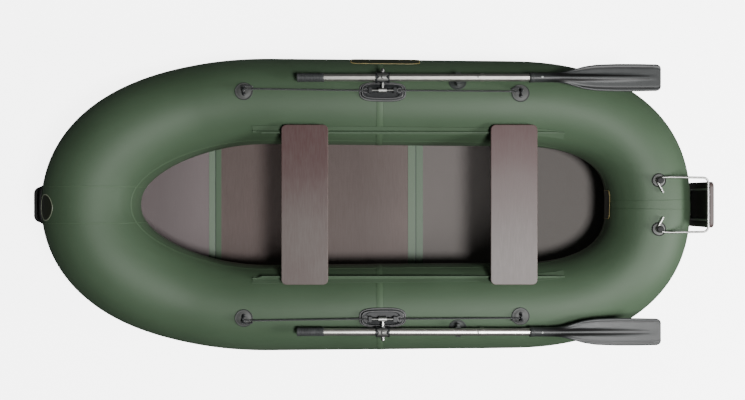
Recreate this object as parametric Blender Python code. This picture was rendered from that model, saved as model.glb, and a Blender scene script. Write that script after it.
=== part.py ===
"""Inflatable rowing boat: two-chamber tube on a flat bottom sheet, folding plywood floor, two sliding
bench seats, two oars on tilting rowlocks and a hanging stern transom.
Metres, +X to the stern, +Y to starboard, +Z up."""

import bisect
import math

import bmesh
import bpy
from mathutils import Matrix, Vector

for old in list(bpy.data.objects):
    bpy.data.objects.remove(old, do_unlink=True)

# Gaps: between pieces that touch, round a turning pin, and round a sliding bead
FIT = 0.0003
PIN_PLAY = 0.0005
BEAD_PLAY = 0.0008
CUT_OVERRUN = 0.004

# Hull, measured on the tube's centreline
BOW_TIP_X = -1.246
STERN_TIP_X = 1.316
BOW_HALF_BEAM = 0.4808
STERN_HALF_BEAM = 0.4702
BOW_CURVE_X = -0.451
STERN_CURVE_X = 0.654
BOW_CURVE_POWER = 2.10
STERN_CURVE_POWER = 2.43
TUBE_R = 0.1995
BOW_TUBE_R = 0.2175
STERN_TUBE_R = 0.191
SWELL_START_X = -0.5
SWELL_RUN = 0.8
NARROW_START_X = 0.6
NARROW_RUN = 0.7
BOW_RISE = 0.09
RISE_RUN = 0.56
SEAM_X = 0.065
TUBE_SIDES = 24
CURVE_STEP = 0.075
STRAIGHT_STEP = 0.3
SHEET_T = 0.0012
SHEET_LAP_SIDES = 1

# Seam band over the join of the two chambers
BAND_W = 0.028
BAND_T = 0.001
BAND_LOW_SIDES = 3

# Floor: three boards joined by two flexible strips
BOARD_T = 0.009
BOARD_GAP = 0.004
FRONT_JOINT_X = -0.7385
REAR_JOINT_X = 0.2405
FLOOR_INSET = 0.115
STRIP_T = 0.001
FRONT_STRIP_W = 0.059
REAR_STRIP_W = 0.073
STRIP_SIDE_MARGIN = 0.012

# Seat rails: a flange glued on the tube with a round bead that stays straight and level
RAIL_BOW_X = -0.510
RAIL_STERN_X = 0.895
BEAD_BOW_X = -0.490
BEAD_STERN_X = 0.862
BEAD_STAND = 0.0117
BEAD_SHIFT = 0.0026
BEAD_R = 0.004
BEAD_STEPS = 6
WEB_T = 0.003
FLANGE_T = 0.0016
RAIL_LIFT = 0.0005
RAIL_FACET = TUBE_SIDES * 3 // 8
RAIL_END_TAPER = 0.022
RAIL_END_SHARE = 0.15
FLANGE_MARGIN_SHARE = 0.09

# Bench seats on runners that grip the bead
SEAT_OVERHANG = 0.033
SEAT_W = 0.208
SEAT_T = 0.015
SEAT_STAND = 0.021
SEAT_CORNER_R = 0.022
SEAT_EDGE_R = 0.0025
FRONT_SEAT_X = -0.272
REAR_SEAT_X = 0.662
RUNNER_L = 0.19
RUNNER_WALL = 0.0028
RUNNER_NECK_W = 0.008
RUNNER_PLATE_W = 0.040
RUNNER_PLATE_T = 0.003
RUNNER_OPEN_HIGH = -15
RUNNER_OPEN_LOW = 285
RUNNER_ARC_STEPS = 8

# Rowlock: oval pad, plastic frame, steel axle, eye with a stud, wing nut
ROWLOCK_X = 0.075
LINE_ANGLE = 82.5
AXLE_HEIGHT = 0.0245
AXLE_R = 0.005
AXLE_HALF_L = 0.057
PAD_HALF_L = 0.105
PAD_HALF_W = 0.045
PAD_T = 0.003
PAD_POWER = 3.2
PAD_TOP_SHARE = 0.96
FRAME_HALF_L = 0.094
FRAME_HALF_W = 0.035
FRAME_RIM_W = 0.008
FRAME_RIM_H = 0.009
FRAME_FLOOR_T = 0.0025
FRAME_POWER = 4.0
FRAME_CHAMFER_SHARE = 0.05
AXLE_BLOCK_IN = 0.048
AXLE_BLOCK_OUT = 0.062
AXLE_BLOCK_HALF_W = 0.011
AXLE_COVER = 0.004
WELL_X = 0.0745
WELL_R = 0.0095
WELL_FLOOR_T = 0.00325
BOSS_PROUD = 0.0012
EYE_R = 0.011
EYE_HALF_L = 0.018
STUD_R = 0.006
STUD_L = 0.095
NUT_R = 0.009
NUT_L = 0.011
WING_SPAN = 0.021
WING_T = 0.004
WING_ROOT_SHARES = (0.3, 0.6)
WING_TIP_SHARE = 1.25
WING_KNEE_SHARE = 0.6
WING_WIDTH_SHARES = (1, 1.5, 1.2)

# Oar: grip, two-part shaft, sleeve for the stud, blade
OAR_OFFSET = 0.056
SHAFT_R = 0.0165
GRIP_X = -0.304
GRIP_L = 0.120
GRIP_R = 0.0175
GRIP_RIB_R = 0.0192
GRIP_RIBS = 7
GRIP_RIB_SHARES = (0.6, 0.8)
GRIP_END_SHARE = 0.8
SHAFT_JOINT_X = 0.522
JOINT_COLLAR_R = 0.0182
JOINT_COLLAR_L = 0.016
SHAFT_END_X = 0.790
SLEEVE_HALF_L = 0.031
SLEEVE_R = 0.0235
SLEEVE_FLANGE_L = 0.00775
SLEEVE_FILLET_L = 0.0031
SLEEVE_BOSS_R = 0.012
BLADE_NECK_X = 0.723
BLADE_TIP_X = 1.303
BLADE_HALF_W = 0.061
BLADE_NECK_R = 0.0205
BLADE_T = 0.0056
BLADE_RIB_W = 0.017
BLADE_RIB_H = 0.0125
BLADE_EDGE_SHARE = 0.35
BLADE_GROOVE_SHARE = 0.68
BLADE_ROLL_SHARE = 1.25
RIB_FOOT_SHARE = 0.4
RIB_LIMIT_SHARE = 0.6
RIB_SHOULDER_SHARES = (0.5, 0.93)

# Eyes for the grab lines, and the lines
EYE_BOW_X = -0.540
EYE_STERN_X = 0.688
EYE_PAD_R = 0.040
EYE_PAD_RIM_T = 0.002
EYE_PAD_T = 0.005
EYE_DOME_SHARES = ((0.9, 0.7), (0.62, 1), (0.3, 1), (0, 1))
LOOP_R = 0.0135
LOOP_WIRE_R = 0.004
LOOP_LEG_H = 0.008
LOOP_STEPS = 8
ROPE_R = 0.004
ROPE_FORK_L = 0.042
ROPE_SPAN_SHARES = (0.25, 0.5, 0.75)
ROPE_APPROACH_SHARE = 1.2
ROPE_RETURN_SHARES = (0.9, 0.6)
ROPE_TURN_STEPS = 6
ROPE_SMOOTH_STEPS = 12

# Clip that holds the stowed oar
CLIP_X = 0.409
CLIP_ANGLE = 67.5
CLIP_PAD_R = 0.040
CLIP_PAD_T = 0.006
CLIP_DOME_SHARES = ((0.85, 0.7), (0.5, 1), (0, 1))
CLIP_HALF_L = 0.011
CLIP_WALL = 0.0045
CLIP_PLAY = 0.001
CLIP_RISE = 0.004
CLIP_LEAN = 0.0056
CLIP_FOOT_SHARE = 0.7
CLIP_KNEE_SHARE = 0.5
KNOB_R = 0.009
KNOB_H = 0.012
KNOB_SUNK_SHARE = 0.8
KNOB_TUCK_SHARE = 0.85
KNOB_SHARES = ((0.7, 0), (1, 0.4), (1, 0.75), (0.6, 1))

# Bow handle
HANDLE_RUN = 0.048
HANDLE_REACH = 0.045
HANDLE_BAR_HALF_L = 0.055
HANDLE_BEND_R = 0.022
HANDLE_HALF_T = 0.010
HANDLE_HALF_H = 0.016
HANDLE_BASE_HALF_L = 0.017
HANDLE_BASE_HALF_H = 0.020
HANDLE_BASE_T = 0.007
HANDLE_NECK_SHARE = 0.6

# Hanging transom: posts on the stern tube, bent rod frame, stay and board
POST_Y = 0.109
POST_PAD_R = 0.031
POST_PAD_RIM_T = 0.002
POST_PAD_T = 0.005
POST_FOOT_SHARES = (0, 0.4, 0.8, 1)
POST_DOME_SHARES = ((0.9, 0.8), (0.6, 1))
POST_STEM_R = 0.006
POST_CAP_R = 0.0145
POST_CAP_T = 0.006
POST_CAP_SHARE = 0.6
ROD_R = 0.005
HOOK_TAIL_L = 0.055
HOOK_TAIL_ANGLE = 208.0
HOOK_LEAVE_ANGLE = 94.0
ARM_SWELL_X = 0.046
ARM_SWELL_Y = 0.0145
ARM_CORNER_Y = 0.0116
ARM_BEND_R = 0.022
TRANSOM_GAP = 0.0216
TRANSOM_X = STERN_TIP_X + STERN_TUBE_R + TRANSOM_GAP
TRANSOM_T = 0.0195
TRANSOM_HALF_W = 0.1025
TRANSOM_TOP_Z = 0.398
TRANSOM_H = 0.270
TRANSOM_CORNER_R = 0.022
TRANSOM_EDGE_R = 0.002
STAY_HALF_W = 0.068
STAY_BEND_R = 0.020
STAY_BOTTOM_MARGIN = 0.035

# Air valves, low on the inner side of each chamber
VALVE_ANGLE = 210.0
VALVE_BOW_X = -0.300
VALVE_STERN_X = 0.430
VALVE_R = 0.022
VALVE_FLANGE_T = 0.003
VALVE_BODY_R = 0.016
VALVE_H = 0.010
VALVE_CHAMFER = 0.002

SMOOTH_ANGLE = math.radians(35)
SLOPE_STEP = 0.002
TABLE_SIZE = 260


def material(name, colour, roughness, metallic=0.0):
    made = bpy.data.materials.new(name)
    made.use_nodes = True
    shader = made.node_tree.nodes["Principled BSDF"]
    shader.inputs["Base Color"].default_value = (*colour, 1.0)
    shader.inputs["Roughness"].default_value = roughness
    shader.inputs["Metallic"].default_value = metallic
    return made


HULL_FABRIC = material("hull_fabric", (0.105, 0.165, 0.105), 0.5)
LIGHT_FABRIC = material("light_fabric", (0.14, 0.205, 0.135), 0.5)
PLYWOOD = material("filmed_plywood", (0.165, 0.125, 0.12), 0.42)
SEAT_PLYWOOD = material("seat_plywood", (0.15, 0.095, 0.09), 0.35)
BLACK_PLASTIC = material("black_plastic", (0.018, 0.018, 0.02), 0.45)
PALE_PLASTIC = material("pale_plastic", (0.3, 0.31, 0.3), 0.5)
RUBBER = material("pad_rubber", (0.03, 0.035, 0.033), 0.6)
STEEL = material("steel", (0.55, 0.55, 0.53), 0.3, 1.0)
ALUMINIUM = material("aluminium", (0.78, 0.77, 0.73), 0.32, 1.0)
ROPE = material("rope", (0.02, 0.02, 0.022), 0.8)


def place(name, mesh, finish, parent=None):
    mesh.materials.append(finish)
    mesh.shade_smooth()
    mesh.set_sharp_from_angle(angle=SMOOTH_ANGLE)
    obj = bpy.data.objects.new(name, mesh)
    bpy.context.scene.collection.objects.link(obj)
    attach(obj, parent)
    return obj


def attach(obj, parent):
    if parent:
        obj.parent = parent
        obj.matrix_parent_inverse = Matrix.Translation(-parent.location)


def mesh_of(name, bm):
    bmesh.ops.recalc_face_normals(bm, faces=bm.faces)
    mesh = bpy.data.meshes.new(name)
    bm.to_mesh(mesh)
    bm.free()
    return mesh


def pivot(name, location):
    empty = bpy.data.objects.new(name, None)
    empty.location = location
    bpy.context.scene.collection.objects.link(empty)
    return empty


def loft(name, rings, ring_closed=True):
    """A closed skin through rings of points. A first or last ring of one point closes in a fan."""
    bm = bmesh.new()
    made = [[bm.verts.new(p) for p in ring] for ring in rings]
    for low, high in zip(made, made[1:]):
        count = max(len(low), len(high))
        for i in range(count if ring_closed else count - 1):
            k = (i + 1) % count
            corners = []
            for ring, order in ((low, (i, k)), (high, (k, i))):
                corners += [ring[0]] if len(ring) == 1 else [ring[n] for n in order]
            bm.faces.new(corners)
    for ring in (made[0], made[-1]):
        if len(ring) > 1:
            bm.faces.new(ring)
    return mesh_of(name, bm)


def prism(name, outline, push):
    """An outline of 3-D points pushed along a vector."""
    return loft(name, [outline, [p + push for p in outline]])


def circle_ring(centre, side, up, radius, sides):
    turns = [2 * math.pi * (i + 0.5) / sides for i in range(sides)]
    return [centre + side * (radius * math.cos(a)) + up * (radius * math.sin(a)) for a in turns]


def sweep(name, path, half_side, half_up, up, sides):
    """An oval section carried along a path, its half sizes given for each point of the path."""
    rings = []
    for i, point in enumerate(path):
        ahead = path[min(i + 1, len(path) - 1)] - path[max(i - 1, 0)]
        side = ahead.cross(up).normalized()
        over = side.cross(ahead).normalized()
        turns = [2 * math.pi * k / sides for k in range(sides)]
        rings.append(
            [
                point + side * (half_side[i] * math.cos(a)) + over * (half_up[i] * math.sin(a))
                for a in turns
            ]
        )
    return loft(name, rings)


def rod(name, path, radius, up, sides=10):
    return sweep(name, path, [radius] * len(path), [radius] * len(path), up, sides)


def bent_path(corners, radius, steps=5):
    """Straight runs joined by arcs of one radius."""
    path = [corners[0]]
    for before, corner, after in zip(corners, corners[1:], corners[2:]):
        to_before = (before - corner).normalized()
        to_after = (after - corner).normalized()
        half = to_before.angle(to_after) / 2
        reach = radius / math.tan(half)
        centre = corner + (to_before + to_after).normalized() * (radius / math.sin(half))
        start = corner + to_before * reach - centre
        end = corner + to_after * reach - centre
        for i in range(steps + 1):
            path.append(centre + start.slerp(end, i / steps, start).normalized() * radius)
    path.append(corners[-1])
    return path


def turned(name, profile, origin, along, out, sides):
    """A shape turned about the axis out, from (radius, height) pairs that start and end on the axis."""
    side = out.cross(along).normalized()
    rings = []
    for radius, height in profile:
        centre = origin + out * height
        rings.append([centre] if radius == 0 else circle_ring(centre, along, side, radius, sides))
    return loft(name, rings)


def cylinder(name, start, end, radius, sides=16):
    axis = (end - start).normalized()
    if abs(axis.x) < abs(axis.z) or abs(axis.x) < abs(axis.y):
        along = Vector((1, 0, 0)) - axis * axis.x
        along.normalize()
    else:
        along = Vector((0, 0, 1))
    length = (end - start).length
    return turned(name, [(0, 0), (radius, 0), (radius, length), (0, length)], start, along, axis, sides)


def box_mesh(name, low, high):
    outline = [
        Vector((low.x, low.y, low.z)),
        Vector((high.x, low.y, low.z)),
        Vector((high.x, high.y, low.z)),
        Vector((low.x, high.y, low.z)),
    ]
    return prism(name, outline, Vector((0, 0, high.z - low.z)))


def combine(obj, mesh, operation):
    """Joins a helper shape to an object or cuts it away."""
    helper = bpy.data.objects.new(obj.name + "_helper", mesh)
    bpy.context.scene.collection.objects.link(helper)
    helper.hide_render = True
    helper.display_type = "WIRE"
    step = obj.modifiers.new(operation.lower(), "BOOLEAN")
    step.operation = operation
    step.object = helper


def settle(obj):
    """Applies an object's Boolean steps and drops their helpers."""
    bpy.context.view_layer.update()
    graph = bpy.context.evaluated_depsgraph_get()
    mesh = bpy.data.meshes.new_from_object(obj.evaluated_get(graph))
    helpers = [m.object for m in obj.modifiers if m.type == "BOOLEAN"]
    obj.modifiers.clear()
    obj.data = mesh
    mesh.shade_smooth()
    mesh.set_sharp_from_angle(angle=SMOOTH_ANGLE)
    for helper in helpers:
        bpy.data.objects.remove(helper, do_unlink=True)
    return obj


def soften(obj, width, segments=2):
    step = obj.modifiers.new("edge", "BEVEL")
    step.width = width
    step.segments = segments
    step.limit_method = "ANGLE"
    step.angle_limit = math.radians(60)
    return obj


def port_copy(obj, parent=None):
    """The same piece on the other side of the boat."""
    mesh = obj.data.copy()
    mesh.transform(Matrix.Scale(-1, 4, Vector((0, 1, 0))))
    mesh.flip_normals()
    name = obj.name.replace("starboard", "port")
    twin = bpy.data.objects.new(name, mesh)
    bpy.context.scene.collection.objects.link(twin)
    attach(twin, parent)
    for source in obj.modifiers:
        if source.type == "BEVEL":
            soften(twin, source.width, source.segments)
    return twin


def ease(share):
    share = min(max(share, 0), 1)
    return share * share * (3 - 2 * share)


def curve_table():
    """The starboard centreline from bow tip to stern tip: arc length, x and y of closely spaced points."""
    points = []
    for tip, start, beam, power, turns in (
        (BOW_TIP_X, BOW_CURVE_X, BOW_HALF_BEAM, BOW_CURVE_POWER, range(TABLE_SIZE + 1)),
        (STERN_TIP_X, STERN_CURVE_X, STERN_HALF_BEAM, STERN_CURVE_POWER, range(TABLE_SIZE, -1, -1)),
    ):
        for i in turns:
            turn = math.pi / 2 * i / TABLE_SIZE
            points.append(
                (
                    start + (tip - start) * max(math.cos(turn), 0) ** (2 / power),
                    beam * math.sin(turn) ** (2 / power),
                )
            )
    lengths = [0]
    for (x0, y0), (x1, y1) in zip(points, points[1:]):
        lengths.append(lengths[-1] + math.hypot(x1 - x0, y1 - y0))
    return lengths, [p[0] for p in points], [p[1] for p in points]


LENGTHS, TABLE_X, TABLE_Y = curve_table()
SIDE_L = LENGTHS[-1]


def between(table, values, key):
    i = min(max(bisect.bisect_right(table, key), 1), len(table) - 1)
    share = (key - table[i - 1]) / (table[i] - table[i - 1])
    return values[i - 1] + (values[i] - values[i - 1]) * share


def run_at(x):
    """Arc length from the bow tip, down the starboard side, at a station x."""
    return between(TABLE_X, LENGTHS, x)


def centreline(run):
    """Plan position at an arc length from the bow tip. Negative runs go down the port side."""
    side = 1 if run >= 0 else -1
    run = abs(run)
    if run > SIDE_L:
        run = 2 * SIDE_L - run
        side = -side
    return Vector((between(LENGTHS, TABLE_X, run), side * between(LENGTHS, TABLE_Y, run), 0))


def radius_at(x):
    swell = ease((SWELL_START_X - x) / SWELL_RUN)
    narrow = ease((x - NARROW_START_X) / NARROW_RUN)
    return TUBE_R + (BOW_TUBE_R - TUBE_R) * swell + (STERN_TUBE_R - TUBE_R) * narrow


def rise_at(x):
    return BOW_RISE * ease((FRONT_JOINT_X - x) / RISE_RUN)


FACET_SHARE = math.cos(math.pi / TUBE_SIDES)


def station(run):
    """Centre, outward normal and radius of the tube at an arc length."""
    centre = centreline(run)
    ahead = centreline(run + SLOPE_STEP) - centreline(run - SLOPE_STEP)
    outward = Vector((-ahead.y, ahead.x, 0)).normalized()
    radius = radius_at(centre.x)
    centre.z = SHEET_T + FIT + radius * FACET_SHARE + rise_at(centre.x)
    return centre, outward, radius


UP = Vector((0, 0, 1))
ALONG = Vector((1, 0, 0))
OUTBOARD = Vector((0, 1, 0))


def radial(outward, angle):
    turn = math.radians(angle)
    return outward * math.cos(turn) + UP * math.sin(turn)


def tube_point(run, angle, lift=0):
    """A point over the tube's surface: 0 degrees faces out, 90 up, 180 in. Lift is square to the facets."""
    centre, outward, radius = station(run)
    return centre + radial(outward, angle) * (radius + lift / FACET_SHARE)


def corner_angle(index):
    return 360 / TUBE_SIDES * (index + 0.5)


def spaced(start, end, step):
    count = max(1, math.ceil((end - start) / step - FIT))
    return [start + (end - start) * i / count for i in range(count)]


POST_RUN = SIDE_L - POST_Y
KEYS = [
    (0, CURVE_STEP),
    (HANDLE_RUN, CURVE_STEP),
    (run_at(FRONT_JOINT_X), CURVE_STEP),
    (run_at(BOW_CURVE_X), STRAIGHT_STEP),
    (run_at(SEAM_X), STRAIGHT_STEP),
    (run_at(STERN_CURVE_X), CURVE_STEP),
    (POST_RUN, CURVE_STEP),
    (SIDE_L, CURVE_STEP),
]
RUNS = [r for (a, step), (b, _) in zip(KEYS, KEYS[1:]) for r in spaced(a, b, step)] + [SIDE_L]
SEAM_RUN = run_at(SEAM_X)


def bead_line():
    """Where the rail's bead runs, set off the tube's facet at the end of the straight sides."""
    centre, outward, radius = station(run_at(STERN_CURVE_X))
    facing = (corner_angle(RAIL_FACET - 1) + corner_angle(RAIL_FACET)) / 2
    out = radial(outward, facing) * (radius * FACET_SHARE + BEAD_STAND)
    return centre + out + radial(outward, facing - 90) * BEAD_SHIFT


BEAD = bead_line()
SEAT_HALF_L = BEAD.y + SEAT_OVERHANG
SEAT_UNDER_Z = BEAD.z + SEAT_STAND


def tube_rings(runs):
    return [[tube_point(r, corner_angle(k)) for k in range(TUBE_SIDES)] for r in runs]


def make_tubes():
    half_gap = FIT / 2
    bow = [r for r in RUNS if r < SEAM_RUN - FIT] + [SEAM_RUN - half_gap]
    stern = [SEAM_RUN + half_gap] + [r for r in RUNS if r > SEAM_RUN + FIT]
    bow_runs = [-r for r in reversed(bow[1:])] + bow
    stern_runs = stern + [2 * SIDE_L - r for r in reversed(stern[:-1])]
    place("tube_bow", loft("tube_bow", tube_rings(bow_runs)), HULL_FABRIC)
    place("tube_stern", loft("tube_stern", tube_rings(stern_runs)), HULL_FABRIC)


def make_bottom_sheet(name, runs):
    """A sheet across the hull from starboard to port, its edge lapped up the tube's lower outer side."""
    bottom = TUBE_SIDES * 3 // 4
    corners = range(bottom, bottom + SHEET_LAP_SIDES + 1)
    last = SHEET_LAP_SIDES
    end = len(runs) - 1
    bm = bmesh.new()
    inner = [[bm.verts.new(tube_point(r, corner_angle(k), FIT)) for k in corners] for r in runs]
    outer = [[bm.verts.new(tube_point(r, corner_angle(k), FIT + SHEET_T)) for k in corners] for r in runs]
    for i, n in zip(range(end), range(1, end + 1)):
        for k in range(last):
            bm.faces.new((inner[i][k], inner[n][k], inner[n][k + 1], inner[i][k + 1]))
            bm.faces.new((outer[i][k], outer[i][k + 1], outer[n][k + 1], outer[n][k]))
        bm.faces.new((inner[i][last], inner[n][last], outer[n][last], outer[i][last]))
    for i in (0, end):
        for k in range(last):
            bm.faces.new((inner[i][k], outer[i][k], outer[i][k + 1], inner[i][k + 1]))
    bm.faces.new((inner[0][0], inner[end][0], outer[end][0], outer[0][0]))
    for skin in (inner, outer):
        for i in range(end // 2):
            across = [skin[i][0], skin[i + 1][0], skin[end - i - 1][0], skin[end - i][0]]
            bm.faces.new([v for n, v in enumerate(across) if v not in across[:n]])
    place(name, mesh_of(name, bm), HULL_FABRIC)


def make_bottom():
    joint = run_at(FRONT_JOINT_X)
    bow = [r for r in RUNS if r < joint - FIT] + [joint - FIT / 2]
    main = [joint + FIT / 2] + [r for r in RUNS if r > joint + FIT]
    make_bottom_sheet("bottom_sheet_bow", [-r for r in reversed(bow[1:])] + bow)
    make_bottom_sheet("bottom_sheet_main", main + [2 * SIDE_L - r for r in reversed(main[:-1])])


def sheet_top(x):
    """Height of the sheet's upper face at a station x, between the hull's stations."""
    bottom = TUBE_SIDES * 3 // 4
    points = [tube_point(r, corner_angle(bottom), FIT) for r in RUNS]
    return between([p.x for p in points], [p.z for p in points], x)


def make_seam_bands():
    low_side, high_side = -BAND_LOW_SIDES, RAIL_FACET - 1
    rings = []
    for k in range(low_side, high_side + 1):
        ring = []
        for lift, offset in ((FIT, -1), (FIT, 1), (FIT + BAND_T, 1), (FIT + BAND_T, -1)):
            ring.append(tube_point(SEAM_RUN + offset * BAND_W / 2, corner_angle(k), lift))
        rings.append(ring)
    port_copy(place("seam_band_starboard", loft("seam_band_starboard", rings), LIGHT_FABRIC))


def board_outline(low_x, high_x, inset):
    """The starboard edge of a floor board from its bow end to its stern end, then back to port."""
    edge = []
    for run in RUNS:
        centre, outward, _ = station(run)
        edge.append(centre - outward * inset)
    xs = [p.x for p in edge]
    ys = [p.y for p in edge]
    side = [Vector((x, between(xs, ys, x), 0)) for x in (low_x, high_x) if xs[0] < x < xs[-1]]
    side += [p for p in edge if low_x < p.x < high_x]
    side = [p for p in sorted(side, key=lambda p: p.x) if p.y >= 0]
    back = [Vector((p.x, -p.y, 0)) for p in reversed(side) if p.y > FIT]
    return side + back


def floor_slope():
    """Rise per metre of the bow board, which lies from the front joint up to the raised sheet."""
    front = BOW_TIP_X + FLOOR_INSET
    return (sheet_top(front) - SHEET_T) / (FRONT_JOINT_X - front)


def floor_z(x, slope):
    return SHEET_T + FIT + max(FRONT_JOINT_X - x, 0) * slope


def make_floor():
    slope = floor_slope()
    half_gap = BOARD_GAP / 2
    boards = (
        ("floor_board_bow", BOW_TIP_X, FRONT_JOINT_X - half_gap),
        ("floor_board_mid", FRONT_JOINT_X + half_gap, REAR_JOINT_X - half_gap),
        ("floor_board_stern", REAR_JOINT_X + half_gap, STERN_TIP_X),
    )
    for name, low_x, high_x in boards:
        outline = board_outline(low_x, high_x, FLOOR_INSET)
        for p in outline:
            p.z = floor_z(p.x, slope)
        place(name, prism(name, outline, Vector((0, 0, BOARD_T))), PLYWOOD)
    strips = (
        ("floor_strip_front", FRONT_JOINT_X, FRONT_STRIP_W),
        ("floor_strip_rear", REAR_JOINT_X, REAR_STRIP_W),
    )
    for name, joint, width in strips:
        reach = centreline(run_at(joint)).y - FLOOR_INSET - STRIP_SIDE_MARGIN
        xs = (joint - width / 2, joint, joint + width / 2)
        low = [Vector((x, reach, floor_z(x, slope) + BOARD_T + FIT)) for x in xs]
        high = [p + UP * STRIP_T for p in reversed(low)]
        place(name, prism(name, low + high, Vector((0, -2 * reach, 0))), LIGHT_FABRIC)


def facet_edges(index):
    """The two long edges of one strip of the tube's facets, as points by station."""
    return [[tube_point(r, corner_angle(k)) for r in RUNS] for k in (index - 1, index)]


def on_edge(edge, x):
    xs = [p.x for p in edge]
    return Vector((x, between(xs, [p.y for p in edge], x), between(xs, [p.z for p in edge], x)))


def rail_ring(edges, x, stand):
    """The rail's section at x: flange on the facet, web and bead. Stand is 1 where the bead is full."""
    low, high = (on_edge(edge, x) for edge in reversed(edges))
    across = (high - low).normalized()
    out = across.cross(ALONG).normalized()
    if out.z < 0:
        out = -out
    width = (high - low).length
    foot = low + across * (width * FLANGE_MARGIN_SHARE) + out * RAIL_LIFT
    head = high - across * (width * FLANGE_MARGIN_SHARE) + out * RAIL_LIFT
    bead = Vector((x, BEAD.y, BEAD.z))
    root = foot + across * (bead - foot).dot(across) + out * FLANGE_T
    bead = root + (bead - root) * stand + out * (BEAD_R * (1 - stand))
    radius = BEAD_R * (1 - (1 - stand) / 2)
    half_web = across * (WEB_T / 2)
    gape = math.degrees(math.asin(WEB_T / 2 / radius))
    arc = []
    for i in range(BEAD_STEPS + 1):
        turn = math.radians(-90 + gape + (360 - 2 * gape) * i / BEAD_STEPS)
        arc.append(bead + across * (radius * math.cos(turn)) + out * (radius * math.sin(turn)))
    top_head = head + out * FLANGE_T
    top_foot = foot + out * FLANGE_T
    return [foot, head, top_head, root + half_web] + arc + [root - half_web, top_foot]


def make_rails():
    edges = facet_edges(RAIL_FACET)
    tube_xs = [p.x for p in edges[0] if RAIL_BOW_X + FIT < p.x < RAIL_STERN_X - FIT]
    more = [p.x for p in edges[1] if RAIL_BOW_X + FIT < p.x < RAIL_STERN_X - FIT]
    ends = [
        (RAIL_BOW_X, RAIL_END_SHARE),
        (BEAD_BOW_X - FIT, RAIL_END_SHARE),
        (BEAD_BOW_X + RAIL_END_TAPER, 1),
        (BEAD_STERN_X, 1),
        (BEAD_STERN_X + FIT, RAIL_END_SHARE),
        (RAIL_STERN_X, RAIL_END_SHARE),
    ]
    spots = dict(ends)
    for x in tube_xs + more:
        if BEAD_BOW_X + RAIL_END_TAPER < x < BEAD_STERN_X:
            spots[x] = 1
        elif x > BEAD_STERN_X + FIT:
            spots[x] = RAIL_END_SHARE
    rings = [rail_ring(edges, x, spots[x]) for x in sorted(spots)]
    port_copy(place("seat_rail_starboard", loft("seat_rail_starboard", rings), LIGHT_FABRIC))


def rounded_rectangle(half_a, half_b, radius, steps=4):
    """Corner-rounded outline as (a, b) pairs, counter-clockwise."""
    points = []
    for quarter, (sa, sb) in enumerate(((1, 1), (-1, 1), (-1, -1), (1, -1))):
        for i in range(steps + 1):
            turn = math.pi / 2 * (quarter + i / steps)
            points.append(
                (
                    sa * (half_a - radius) + radius * math.cos(turn),
                    sb * (half_b - radius) + radius * math.sin(turn),
                )
            )
    return points


def runner_outline():
    """Section of the runner in the Y-Z plane: a hook over the bead, open towards the tube, under a plate."""
    inner = BEAD_R + BEAD_PLAY
    outer = inner + RUNNER_WALL
    neck = RUNNER_NECK_W / 2
    shoulder = math.degrees(math.acos(neck / outer))
    plate_low = SEAT_UNDER_Z - FIT - RUNNER_PLATE_T - BEAD.z
    lip = [RUNNER_OPEN_HIGH, (RUNNER_OPEN_HIGH + shoulder) / 2, shoulder]
    shape = [(outer * math.cos(math.radians(a)), outer * math.sin(math.radians(a))) for a in lip]
    shape.append((neck, plate_low))
    shape.append((RUNNER_PLATE_W / 2, plate_low))
    shape.append((RUNNER_PLATE_W / 2, plate_low + RUNNER_PLATE_T))
    shape.append((-RUNNER_PLATE_W / 2, plate_low + RUNNER_PLATE_T))
    shape.append((-RUNNER_PLATE_W / 2, plate_low))
    shape.append((-neck, plate_low))
    arcs = ((outer, 180 - shoulder, RUNNER_OPEN_LOW), (inner, RUNNER_OPEN_LOW, RUNNER_OPEN_HIGH))
    for radius, first, final in arcs:
        for i in range(RUNNER_ARC_STEPS + 1):
            turn = math.radians(first + (final - first) * i / RUNNER_ARC_STEPS)
            shape.append((radius * math.cos(turn), radius * math.sin(turn)))
    return [(BEAD.y + y, BEAD.z + z) for y, z in shape]


def make_seat(where, seat_x):
    slider = pivot(f"seat_{where}_slide", Vector((seat_x, 0, SEAT_UNDER_Z)))
    name = f"seat_{where}_board"
    plan = rounded_rectangle(SEAT_W / 2, SEAT_HALF_L, SEAT_CORNER_R)
    outline = [Vector((seat_x + a, b, SEAT_UNDER_Z)) for a, b in plan]
    board = place(name, prism(name, outline, Vector((0, 0, SEAT_T))), SEAT_PLYWOOD, slider)
    soften(board, SEAT_EDGE_R)
    name = f"seat_{where}_runner_starboard"
    section = [Vector((seat_x - RUNNER_L / 2, y, z)) for y, z in runner_outline()]
    runner = place(name, prism(name, section, Vector((RUNNER_L, 0, 0))), BLACK_PLASTIC, slider)
    port_copy(runner, slider)


def plate_rings(run, angle, half_l, half_w, power, layers, sides):
    """Rings of a plate that follows the tube, as (share of the outline, lift) pairs."""
    radius = station(run)[2]
    rings = []
    for share, lift in layers:
        ring = []
        for i in range(sides if share else 1):
            turn = 2 * math.pi * i / sides
            a, b = math.cos(turn), math.sin(turn)
            along = share * half_l * math.copysign(abs(a) ** (2 / power), a)
            around = share * half_w * math.copysign(abs(b) ** (2 / power), b)
            ring.append(tube_point(run + along, angle + math.degrees(around / radius), lift))
        rings.append(ring)
    return rings


def tube_plate(
    name, run, angle, half_l, half_w, layers, finish, base_lift=FIT, power=2.0, sides=20, foot=(0, 1)
):
    foot = [(share, base_lift) for share in foot]
    rings = plate_rings(run, angle, half_l, half_w, power, foot + layers, sides)
    bm = bmesh.new()
    bm.from_mesh(loft(name, rings))
    bmesh.ops.triangulate(bm, faces=bm.faces)
    return place(name, mesh_of(name, bm), finish)


ROWLOCK_RUN = run_at(ROWLOCK_X)
PAD_LIFT = FIT + BAND_T + FIT
FRAME_LIFT = PAD_LIFT + PAD_T + FIT
AXLE = tube_point(ROWLOCK_RUN, LINE_ANGLE, AXLE_HEIGHT)


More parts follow.
